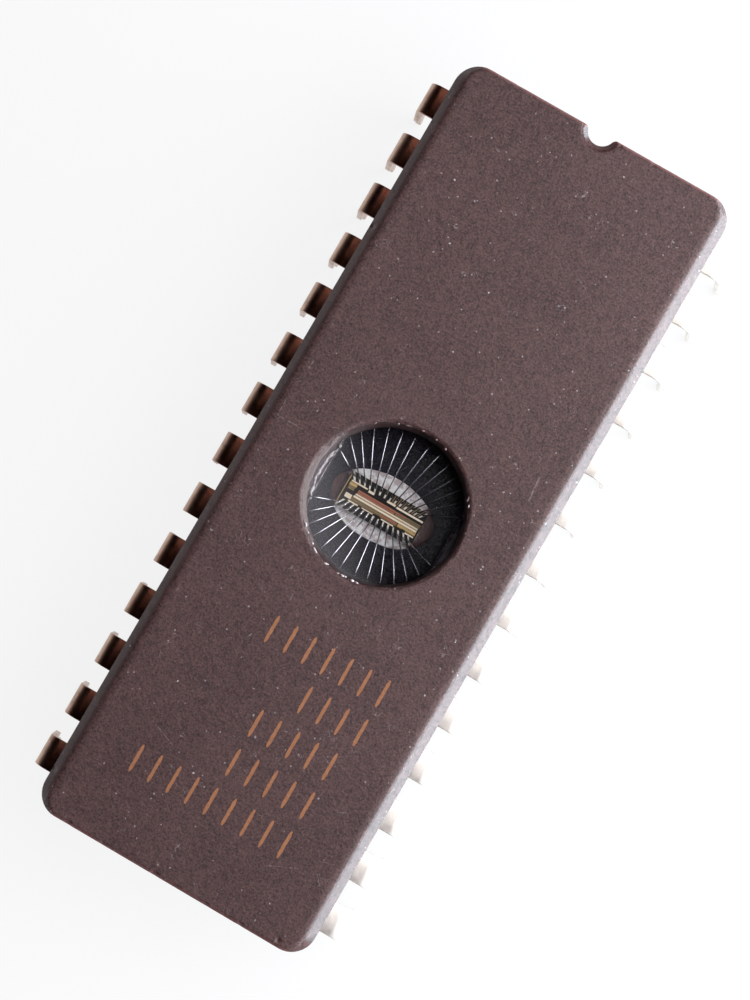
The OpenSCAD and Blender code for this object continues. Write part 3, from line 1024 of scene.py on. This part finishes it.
TONES = {
    "ground": die_tone("die_ground", seen(58, 46, 34), seen(22, 18, 15), 0.09),
    "cream": die_tone("die_cream", seen(255, 250, 236), seen(236, 214, 176), 0.07, 0.6, 0.4),
    "gold": die_tone("die_gold", seen(236, 206, 142), seen(166, 130, 76), 0.05, 0.3),
    "rust": die_tone("die_rust", seen(206, 136, 108), seen(104, 60, 46), 0.05, 0.2),
    "olive": die_tone("die_olive", seen(168, 146, 104), seen(86, 68, 46), 0.04, 0.2),
    "black": die_tone("die_black", seen(20, 16, 16), seen(6, 5, 6), 0.08, 0.1),
    # Pale stripes that stand for the wires' glints over the pad rows: painted highlights.
    "wire_glint": die_tone("die_wire_glint", seen(240, 236, 226), seen(186, 178, 164), 0.08, 0.0, 0.5),
    "pad": die_tone("die_pad", seen(150, 146, 138), seen(96, 92, 86), 0.03, 0.4),
}
die_node = frame["nodes"]["silicon_die"]
die_node.data.materials.clear()
die_node.data.materials.append(TONES["ground"])

# %% Blocks of the die
# Each block is a tone and its span along and across the die, in millimetres from its middle.
BLOCKS = [
    ("black", -1.96, 1.96, 0.49, 0.84), ("black", -1.96, 1.96, -0.84, -0.49),
    ("cream", -1.80, -0.98, 0.40, 0.47), ("cream", -0.90, -0.60, 0.33, 0.45),
    ("cream", 0.06, 0.50, 0.36, 0.46), ("cream", 0.56, 1.94, 0.33, 0.42),
    ("gold", -1.86, -1.46, 0.22, 0.38), ("black", -1.40, 1.96, 0.24, 0.30),
    ("rust", -1.30, 0.62, 0.03, 0.22), ("olive", 0.66, 1.94, 0.03, 0.22),
    ("rust", 0.30, 1.16, 0.12, 0.20), ("cream", -1.34, 1.90, -0.05, 0.015),
    ("gold", -1.34, 1.90, -0.09, -0.06), ("cream", -1.38, 1.90, -0.19, -0.10),
    ("olive", -1.50, 0.96, -0.38, -0.20), ("rust", 0.10, 0.92, -0.33, -0.22),
    ("gold", 1.00, 1.92, -0.36, -0.20), ("cream", -1.76, -1.44, -0.36, -0.14),
    ("cream", -1.50, -1.00, -0.46, -0.40), ("cream", -0.80, -0.22, -0.45, -0.41),
    ("cream", 0.22, 0.86, -0.46, -0.41), ("cream", 1.46, 1.90, -0.47, -0.40),
    ("black", -0.14, 0.12, -0.54, -0.36), ("black", 1.24, 1.42, -0.56, -0.34),
    ("gold", -1.955, -1.92, -0.74, 0.76), ("black", -1.90, -1.82, -0.60, 0.60),
    ("olive", -1.80, -1.50, 0.05, 0.20), ("black", -0.56, 0.04, 0.31, 0.46),
]
PLATE_T = 0.004


def plate(tone, corners, top):
    """Adds a thin four-sided plate of a tone; corners are in millimetres from the die's middle."""
    points, faces = plates[tone]
    first = len(points)
    for z in (DIE_HIGH.z - PLATE_T, top):
        points += [(DIE_MIDDLE.x + x, DIE_MIDDLE.y + y, z) for x, y in corners]
    faces += [tuple(first + i for i in f) for f in
              ((0, 3, 2, 1), (4, 5, 6, 7), (0, 1, 5, 4), (1, 2, 6, 5), (2, 3, 7, 6), (3, 0, 4, 7))]


def block(tone, x0, x1, y0, y1, top):
    plate(tone, ((x0, y0), (x1, y0), (x1, y1), (x0, y1)), top)


plates = {tone: ([], []) for tone in TONES}
for level, (tone, x0, x1, y0, y1) in enumerate(BLOCKS):
    block(tone, x0, x1, y0, y1, DIE_HIGH.z + PLATE_T * (1 + level * 0.08))

# %% Pads, and painted glints of the wires across the pad rows
PAD_END_MARGIN, PAD_EDGE_MARGIN = 0.17, 0.17
PAD_STEP = (DIE_L - 2 * PAD_END_MARGIN) / (PER_ROW - 1)
PAD_ROW = DIE_W / 2 - PAD_EDGE_MARGIN
PAD_HALF = 0.055
# Width and reach of the pale leaning stripes: painted glints of the wires across the dark pad rows.
GLINT_STRIPE_HALF = 0.05
GLINT_STRIPE_SPAN = (0.47, 0.84)
LEAN = 0.75
random.seed(27)
pad_top = DIE_HIGH.z + PLATE_T * 5
for side in (-1, 1):
    for i in range(PER_ROW):
        x = (i - (PER_ROW - 1) / 2) * PAD_STEP
        block("pad", x - PAD_HALF, x + PAD_HALF, side * PAD_ROW - PAD_HALF,
              side * PAD_ROW + PAD_HALF, pad_top)
        lean = LEAN * x / DIE_L * 2
        # Each pale stripe leans with its wire, from inside the pad row to the die's edge: a painted
        # glint of the wire over the dark row.
        stripes = [(0.0, "wire_glint")]
        if side > 0 and i >= PER_ROW // 2:
            stripes.append((PAD_STEP / 2, "olive"))
        for shift, tone in stripes:
            near, far = (x + shift + lean * (y - PAD_ROW) for y in GLINT_STRIPE_SPAN)
            half = GLINT_STRIPE_HALF * random.uniform(0.6, 1.1) * (1 if tone == "wire_glint" else 0.6)
            low, high = (side * (y + random.uniform(-0.015, 0.015)) for y in GLINT_STRIPE_SPAN)
            if max(near, far) + half < DIE_L / 2:
                plate(tone, ((near - half, low), (near + half, low), (far + half, high),
                             (far - half, high))[::side], pad_top)
for tone, (points, faces) in plates.items():
    if faces:
        make_piece(f"die_{tone}_plates", points, faces, TONES[tone], smooth=False)
print("plates on the die:", sum(len(f) // 6 for _, f in plates.values()))

# %% [markdown]
# ## Bond wires
#
# A fine aluminium wire runs from each pad to the tip of each finger. Its ends are pressed flat
# by the bonding tool, and the wire between them stands in a low arc. The wires are far thinner
# than anything else, and the photograph shows them only as glints: the level part of each wire
# is bright, and its steep ends are dark. So each needs round sides and a smooth arc of its own.
# The arc rises as high as the solid's, but a drawn wire leaves its pad more steeply. Near the rim
# and over the die's pad rows the wire is also painted darker: painted shade.

# %% Wire finish
def wire_metal():
    finish = Finish("bright_aluminium", Metallic=1.0, Roughness=0.2)
    x, y, z = finish.axes()
    from_middle = finish.vector("LENGTH", finish.add(
        "ShaderNodeCombineXYZ", X=x, Y=y).outputs["Vector"])
    past_die = finish.calc("SUBTRACT", y, DIE_MIDDLE.y)
    from_row = finish.calc("MAXIMUM", past_die, finish.calc("MULTIPLY", past_die, -1.6))
    # The wire is painted darker towards the rim and over the die's pad rows: painted shade, where the
    # rim and the wire's steep rise keep the light off.
    painted_shade = finish.calc("MAXIMUM", finish.spread(from_middle, SHADE_FROM, SHADE_TO),
                       finish.spread(from_row, PAD_ROW + 0.1, PAD_ROW + 0.4, 1.0, 0.0))
    return finish.finish(Base_Color=finish.mix(painted_shade, seen(228, 230, 240), seen(104, 102, 108)))


# Where the painted shade of the wires starts and where it is full, in millimetres from the middle.
SHADE_FROM, SHADE_TO = 2.9, 3.35
wire_finish = wire_metal()
WIRE_R = 0.03
WIRE_RISE = 0.38
WIRE_FULLNESS = 3.0
WIRE_STEPS = 30
WIRE_SIDES = 10
FOOT_L, FOOT_W, FOOT_T = 0.14, 0.08, 0.03


def wire_path(start, end):
    """Points on the arc of a wire, in an upright plane."""
    path = []
    for i in range(WIRE_STEPS + 1):
        share = (1 - math.cos(math.pi * i / WIRE_STEPS)) / 2
        rise = WIRE_RISE * (1 - abs(2 * share - 1) ** WIRE_FULLNESS)
        path.append(start.lerp(end, share) + Vector((0, 0, rise)))
    return path


def add_tube(points, faces, path):
    """Adds a round tube along a path, closed at both ends."""
    first = len(points)
    for i, centre in enumerate(path):
        before, after = path[max(0, i - 1)], path[min(len(path) - 1, i + 1)]
        way = (after - before).normalized()
        side = way.cross(Vector((0, 0, 1))).normalized()
        up = side.cross(way)
        for k in range(WIRE_SIDES):
            turn = 2 * math.pi * k / WIRE_SIDES
            points.append(centre + WIRE_R * (side * math.cos(turn) + up * math.sin(turn)))
    for i in range(len(path) - 1):
        for k in range(WIRE_SIDES):
            m = (k + 1) % WIRE_SIDES
            a, b = first + i * WIRE_SIDES, first + (i + 1) * WIRE_SIDES
            faces.append((a + k, a + m, b + m, b + k))
    faces.append(tuple(first + k for k in range(WIRE_SIDES)))
    last = first + (len(path) - 1) * WIRE_SIDES
    faces.append(tuple(last + k for k in reversed(range(WIRE_SIDES))))


def add_foot(points, faces, at, way):
    """Adds the flattened foot of a wire: a low pad with a round back."""
    side = Vector((-way.y, way.x, 0))
    along = Vector((way.x, way.y, 0))
    first = len(points)
    count = 14
    for height, share in ((0.0, 1.0), (FOOT_T * 0.7, 0.96), (FOOT_T, 0.8)):
        for k in range(count):
            turn = 2 * math.pi * k / count
            points.append(at + along * (FOOT_L / 2 * share * math.cos(turn))
                          + side * (FOOT_W / 2 * share * math.sin(turn)) + Vector((0, 0, height)))
    for r in range(2):
        for k in range(count):
            m = (k + 1) % count
            faces.append((first + r * count + k, first + r * count + m,
                          first + (r + 1) * count + m, first + (r + 1) * count + k))
    faces.append(tuple(first + 2 * count + k for k in range(count)))
    faces.append(tuple(first + k for k in reversed(range(count))))


# %% All the wires
for side, name in ((1, "notch_side"), (-1, "far_side")):
    points, faces = [], []
    for sx in (-1, 1):
        for place in range(PER_ROW // 2):
            pad = Vector((DIE_MIDDLE.x + sx * PAD_STEP * (place + 0.5),
                          DIE_MIDDLE.y + side * PAD_ROW, DIE_HIGH.z))
            reach = edge_point(place) + BOND_IN * finger_way(place)
            tip = Vector((sx * reach.x, side * reach.y, LEAD_TOP_Z))
            path = wire_path(pad + Vector((0, 0, WIRE_R)), tip + Vector((0, 0, WIRE_R)))
            way = (tip - pad).to_2d().normalized()
            add_tube(points, faces, path)
            add_foot(points, faces, pad + Vector((0, 0, PLATE_T * 5)), way)
            add_foot(points, faces, tip, way)
    make_piece(f"wires_{name}", points, faces, wire_finish, [f"bond_wires_{name}"])
    print(name, "wires:", len(faces), "faces")

# %% [markdown]
# ## The window
#
# The glass was melted into its hole, so it is not a flat disc: its face is slightly dished, it
# climbs up the wall at its rim, and the rim is uneven. The dish matters for the look. It turns
# the left of the window towards the light on the right and the right of it away, so half of the
# window carries a grey sheen and the other half is black. A lathe of many sides with noise at
# its rim gives all of this.

# %% Glass finish
def window_finish():
    finish = Finish("clear_glass", Roughness=0.0, IOR=1.47)
    finish.finish(Base_Color=(0.97, 0.98, 1.0, 1.0), Transmission_Weight=1.0)
    through = finish.add("ShaderNodeBsdfTransparent")
    light_path = finish.add("ShaderNodeLightPath")
    soft_ray = finish.calc("MAXIMUM", light_path.outputs["Is Shadow Ray"], finish.calc(
        "MAXIMUM", light_path.outputs["Is Diffuse Ray"], light_path.outputs["Is Glossy Ray"]))
    mixed = finish.add("ShaderNodeMixShader")
    finish.set(mixed.inputs[0], soft_ray)
    finish.set(mixed.inputs[1], finish.shader.outputs[0])
    finish.set(mixed.inputs[2], through.outputs[0])
    finish.tree.links.new(mixed.outputs[0], finish.output.inputs["Surface"])
    return finish.material


GLASS_SIDES = 160
GLASS_SINK = 0.44
GLASS_DISH = 0.36
GLASS_CLIMB = 0.4
CLIMB_RUN = 0.28
GLASS_GAP = 0.004
GLASS_RADII = [0.6, 1.2, 1.8, 2.3, 2.7, 3.0, 3.15, 3.25, 3.32, 3.39, 3.44, 3.48, 3.51, 3.53]


def glass_face(radius, angle):
    """Height of the glass's face above its middle."""
    edge = WINDOW_R - GLASS_GAP
    rise = GLASS_DISH * (radius / edge) ** 2
    near = max(0.0, 1 - (edge - radius) / CLIMB_RUN)
    wave = noise.noise((4 * math.cos(angle), 4 * math.sin(angle), 1.3))
    fine = noise.noise((14 * math.cos(angle), 14 * math.sin(angle), 5.9))
    return rise + (GLASS_CLIMB - GLASS_DISH) * near ** 2 * (1 + 0.9 * wave + 0.6 * fine)


edge = WINDOW_R - GLASS_GAP
rings = GLASS_RADII + [edge]
base_z = TOP_Z - GLASS_SINK
points = [(0, 0, base_z)]
for radius in rings:
    for k in range(GLASS_SIDES):
        turn = 2 * math.pi * k / GLASS_SIDES
        points.append((radius * math.cos(turn), radius * math.sin(turn),
                       base_z + glass_face(radius, turn)))
faces = [(0, 1 + k, 1 + (k + 1) % GLASS_SIDES) for k in range(GLASS_SIDES)]
for r in range(len(rings) - 1):
    for k in range(GLASS_SIDES):
        m = (k + 1) % GLASS_SIDES
        a, b = 1 + r * GLASS_SIDES, 1 + (r + 1) * GLASS_SIDES
        faces.append((a + k, b + k, b + m, a + m))
outer = 1 + (len(rings) - 1) * GLASS_SIDES
first = len(points)
points += [(edge * math.cos(2 * math.pi * k / GLASS_SIDES),
            edge * math.sin(2 * math.pi * k / GLASS_SIDES), GLASS_LOW.z)
           for k in range(GLASS_SIDES)]
for k in range(GLASS_SIDES):
    m = (k + 1) % GLASS_SIDES
    faces.append((outer + k, first + k, first + m, outer + m))
faces.append(tuple(first + k for k in reversed(range(GLASS_SIDES))))
lens = make_piece("window_lens", points, faces, window_finish(), ["window_glass"])
keep_creases(lens, 60)
print("window:", len(lens.data.polygons), "faces, dished by", GLASS_DISH, "mm")

# %% [markdown]
# ### Flakes at the rim, and painted glints
#
# The ceramic round the hole broke a little when it was pressed, and the glass that climbed the
# wall froze in beads. Both catch the light as short pale dashes along the rim, most of them at
# the lower edge. The flakes are painted near white, and darker on the notch side: painted
# highlights. A row of near-white beads at the foot of the wall on the left is a painted highlight
# of the lit edge of the sealing glass. Each dash is a short lumpy bead on an arc, because a row
# of true beads glints as the real one does.

# %% Flakes with painted glints
FLAKE_R = 0.05
RIM_FLAKES = [(73, 2.0), (82, 1.5), (93, 2.5), (104, 4), (111, 1.5), (127, 2), (29, 2.5), (34, 3.5),
              (224, 4), (230, 1.5), (238, 2.5), (243, 5), (255, 3.5), (265.5, 2), (269, 3.5),
              (271, 2), (276.5, 3), (280, 2.5)]
# Near-white beads on the left foot of the wall: a painted highlight of the lit sealing glass.
GLINT_BEAD_R = 3.39
GLINT_DASHES = [(1.3, 0.2), (1.08, 0.34), (0.8, 0.42), (0.42, 0.5), (0.16, 0.3), (-0.12, 0.5),
                (-0.46, 0.36), (-0.66, 0.24), (-0.98, 0.46), (-1.3, 0.24)]


def add_bead(points, faces, path, radius):
    """Adds a closed bead along a path: thick in its middle, thin at its ends, and lumpy."""
    first, sides = len(points), 8
    for i, centre in enumerate(path):
        share = i / (len(path) - 1)
        thick = radius * (0.25 + 0.75 * math.sin(math.pi * share)) * (
            1 + 0.5 * noise.noise(centre * 11))
        before, after = path[max(0, i - 1)], path[min(len(path) - 1, i + 1)]
        side = (after - before).cross(Vector((0, 0, 1))).normalized()
        for k in range(sides):
            turn = 2 * math.pi * k / sides
            points.append(centre + thick * (side * math.cos(turn)
                                            + Vector((0, 0, 1)) * math.sin(turn)))
    for i in range(len(path) - 1):
        for k in range(sides):
            m = (k + 1) % sides
            a, b = first + i * sides, first + (i + 1) * sides
            faces.append((a + k, a + m, b + m, b + k))
    last = first + (len(path) - 1) * sides
    faces.append(tuple(first + k for k in range(sides)))
    faces.append(tuple(last + k for k in reversed(range(sides))))


def flake_glint_finish():
    finish = Finish("flake_painted_glint", Roughness=0.35)
    x, y, z = finish.axes()
    patches = finish.noise(7.0, detail=2.0)
    # Flakes are painted near white, and darker past y = 1.6 mm towards the notch: painted highlights.
    pale = finish.mix(patches, seen(178, 162, 164), seen(250, 246, 248))
    painted_shade = finish.mix(patches, seen(96, 74, 74), seen(176, 150, 150))
    return finish.finish(Base_Color=finish.mix(finish.spread(y, 1.6, 1.9), pale, painted_shade))


BEAD_STEPS = 8
points, faces = [], []
flake_r = WINDOW_R - 0.02
for middle, span in RIM_FLAKES:
    turns = [math.radians(middle + span * (i / BEAD_STEPS - 0.5)) for i in range(BEAD_STEPS + 1)]
    wander = [0.09 * noise.noise((math.cos(t) * 15, math.sin(t) * 15, 2.0)) for t in turns]
    size = FLAKE_R * (0.75 + 0.6 * noise.noise((middle, 3.3, 0.7)))
    path = [Vector(((flake_r + w) * math.cos(t), (flake_r + w) * math.sin(t), TOP_Z - FLAKE_R))
            for t, w in zip(turns, wander)]
    add_bead(points, faces, path, size)
flakes = make_piece("rim_flakes", points, faces, flake_glint_finish())
# Near-white beads at the foot of the wall on the left: a painted highlight of the lit edge of the
# sealing glass.
points, faces = [], []
for middle, length in GLINT_DASHES:
    path = []
    for i in range(BEAD_STEPS + 1):
        y = middle + length * (i / BEAD_STEPS - 0.5)
        reach = GLINT_BEAD_R + 0.07 * noise.noise((y * 6, 0.3, 1.1))
        path.append(Vector((-math.sqrt(reach ** 2 - y ** 2), y, LEAD_TOP_Z + 0.03)))
    add_bead(points, faces, path, 0.065 + 0.05 * noise.noise((middle * 5, 1.7, 0.2)))
make_piece("seal_painted_glint", points, faces, flakes.data.materials[0])
print("flakes:", len(RIM_FLAKES), "painted glint dashes:", len(GLINT_DASHES))

# %% [markdown]
# ## Etched marks
#
# Below the window the lid carries thin tan marks that a laser burned into it. Here they are
# plain upright strokes in rows, with no letters or figures. They could be part of the ceramic's
# finish, but as strokes of their own they keep crisp edges. A laser burns a row of spots, so
# each stroke gets a slightly ragged outline.

# %% Marks finish
def mark_finish():
    finish = Finish("etched_mark", Roughness=0.7)
    burnt = finish.noise(9.0, detail=3.0)
    return finish.finish(Base_Color=finish.mix(burnt, seen(134, 84, 56), seen(186, 126, 88)))


MARK_H, MARK_W, MARK_STEP, MARK_RISE = 1.28, 0.15, 0.91, 0.003
MARK_ROWS = [(3.95, -7.0, 7), (3.95, -8.9, 4), (3.55, -10.8, 5), (3.55, -12.7, 5), (3.55, -14.6, 9)]


def add_stroke(points, faces, x, y):
    """Adds one upright stroke whose sides wander a little."""
    first = len(points)
    count = 16
    for i in range(count + 1):
        t = i / count
        cap = min(1.0, 4 * min(t, 1 - t) + 0.45)
        for s in (-1, 1):
            ragged = 0.018 * noise.noise((x * 3 + s, y + t * 9, 0.5))
            points.append((x + s * (MARK_W / 2 * cap + ragged), y + (t - 0.5) * MARK_H,
                           TOP_Z + MARK_RISE))
    for i in range(count):
        a = first + 2 * i
        faces.append((a, a + 1, a + 3, a + 2))


points, faces = [], []
for right, y, count in MARK_ROWS:
    for i in range(count):
        add_stroke(points, faces, right - i * MARK_STEP, y)
make_piece("etched_marks", points, faces, mark_finish())
print("etched strokes:", sum(row[2] for row in MARK_ROWS))

# %% [markdown]
# ## Floor and light
#
# The photograph has a plain white ground, and its light tells a lot: the long edge on the right
# is bright, the one on the left is nearly black, and the metal on the left goes from a pale
# shoulder to a dark middle. So one wide soft box stands high on the right, a near strip stands
# low on the right, the right half of the sky glows softly, and the left half is dark but for a
# pale horizon. The glow fades just past the point overhead, which gives the dished window its
# soft sheen. The white ground comes from the floor's colour and what the camera sees of it.

# %% Floor
FLOOR_HALF = 400.0


def pale_floor():
    finish = Finish("pale_floor", Roughness=0.9)
    finish.finish(Base_Color=(0.86, 0.86, 0.87, 1.0))
    glow = finish.add("ShaderNodeEmission", Color=(1.0, 1.0, 1.0, 1.0), Strength=1.0)
    light_path = finish.add("ShaderNodeLightPath")
    shown = finish.calc("MAXIMUM", light_path.outputs["Is Camera Ray"], finish.calc(
        "MAXIMUM", light_path.outputs["Is Glossy Ray"], light_path.outputs["Is Transmission Ray"]))
    share = finish.calc("MULTIPLY", shown, 0.85)
    mixed = finish.add("ShaderNodeMixShader")
    finish.set(mixed.inputs[0], share)
    finish.set(mixed.inputs[1], finish.shader.outputs[0])
    finish.set(mixed.inputs[2], glow.outputs[0])
    one_sided = finish.add("ShaderNodeMixShader")
    finish.set(one_sided.inputs[0], finish.add("ShaderNodeNewGeometry").outputs["Backfacing"])
    finish.set(one_sided.inputs[1], mixed.outputs[0])
    finish.set(one_sided.inputs[2], finish.add("ShaderNodeBsdfTransparent").outputs[0])
    finish.tree.links.new(one_sided.outputs[0], finish.output.inputs["Surface"])
    return finish.material


floor_mesh = bpy.data.meshes.new("floor")
corners = [(-1, -1), (1, -1), (1, 1), (-1, 1)]
floor_mesh.from_pydata([(x * FLOOR_HALF * MM, y * FLOOR_HALF * MM, 0) for x, y in corners], [],
                       [(0, 1, 2, 3)])
floor_mesh.materials.append(pale_floor())
floor = bpy.data.objects.new("floor", floor_mesh)
scene.collection.objects.link(floor)
floor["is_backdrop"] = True


# %% World
world = bpy.data.worlds.new("studio")
scene.world = world
world.use_nodes = True
tree = world.node_tree
background = tree.nodes["Background"]
direction = tree.nodes.new("ShaderNodeTexCoord")
parts = tree.nodes.new("ShaderNodeSeparateXYZ")
tree.links.new(direction.outputs["Generated"], parts.inputs[0])


def glow(part, low, high, to_low, to_high):
    """A glow that changes smoothly between two values of one part of the direction."""
    ramp = tree.nodes.new("ShaderNodeMapRange")
    ramp.interpolation_type = "SMOOTHSTEP"
    for key, number in (("From Min", low), ("From Max", high), ("To Min", to_low),
                        ("To Max", to_high)):
        ramp.inputs[key].default_value = number
    tree.links.new(part, ramp.inputs["Value"])
    return ramp.outputs["Result"]


def across(azimuth):
    """How far a direction leans towards an azimuth, as a sine."""
    a = math.radians(azimuth)
    leaning = tree.nodes.new("ShaderNodeVectorMath")
    leaning.operation = "DOT_PRODUCT"
    tree.links.new(direction.outputs["Generated"], leaning.inputs[0])
    leaning.inputs[1].default_value = (math.cos(a), math.sin(a), 0.0)
    return leaning.outputs["Value"]


def product_of(first, second):
    made = tree.nodes.new("ShaderNodeMath")
    made.operation = "MULTIPLY"
    tree.links.new(first, made.inputs[0])
    tree.links.new(second, made.inputs[1])
    return made.outputs[0]


def sum_of(first, *others):
    for other in others:
        added = tree.nodes.new("ShaderNodeMath")
        tree.links.new(first, added.inputs[0])
        tree.links.new(other, added.inputs[1])
        first = added.outputs[0]
    return first


overhead = product_of(glow(across(37), 0.0, 0.33, 0.0, 2.3),
                      glow(parts.outputs["Z"], 0.68, 0.88, 0.0, 1.0))
sky = sum_of(glow(parts.outputs["X"], 0.1, 0.6, 0.0, 0.35),
             glow(parts.outputs["Z"], 0.1, 0.5, 0.25, 0.01), overhead)
light_path = tree.nodes.new("ShaderNodeLightPath")
pick = tree.nodes.new("ShaderNodeMix")
pick.data_type = "FLOAT"
tree.links.new(light_path.outputs["Is Camera Ray"], pick.inputs[0])
tree.links.new(sky, pick.inputs[2])
pick.inputs[3].default_value = 1.0
tree.links.new(pick.outputs[0], background.inputs["Strength"])
background.inputs["Color"].default_value = (1.0, 0.97, 1.03, 1.0)


# %% Soft boxes
def soft_box(name, azimuth, elevation, distance, size, radiance, colour=(1, 1, 1)):
    """An area lamp aimed at the chip; azimuth 0 is +X and 90 is +Y, lengths in millimetres."""
    data = bpy.data.lights.new(name, "AREA")
    data.shape = "RECTANGLE"
    data.size, data.size_y = size[0] * MM, size[1] * MM
    data.energy = radiance * math.pi * data.size * data.size_y
    data.color = colour
    lamp = bpy.data.objects.new(name, data)
    a, e = math.radians(azimuth), math.radians(elevation)
    away = Vector((math.cos(a) * math.cos(e), math.sin(a) * math.cos(e), math.sin(e)))
    lamp.location = (Vector((0, 0, TOP_Z)) + away * distance) * MM
    lamp.rotation_mode = "QUATERNION"
    lamp.rotation_quaternion = away.to_track_quat("Z", "Y")
    lamp.visible_camera = False
    scene.collection.objects.link(lamp)
    return lamp


soft_box("high_box", 20, 48, 70, (60, 44), 3.7, (1.0, 0.99, 0.98))
soft_box("low_strip", 22, 6, 62, (120, 29), 12.0, (0.8, 0.93, 1.0))
print("lamps:", len(bpy.data.lights))

# %% Compare the dressed box with the packed one
VISUAL_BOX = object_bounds()
growth = max(abs(a - b) for c, v in zip(CAD_BOX, VISUAL_BOX) for a, b in zip(c, v)) / MM
print(f"the dressed box differs from the packed one by at most {growth:.3f} mm")
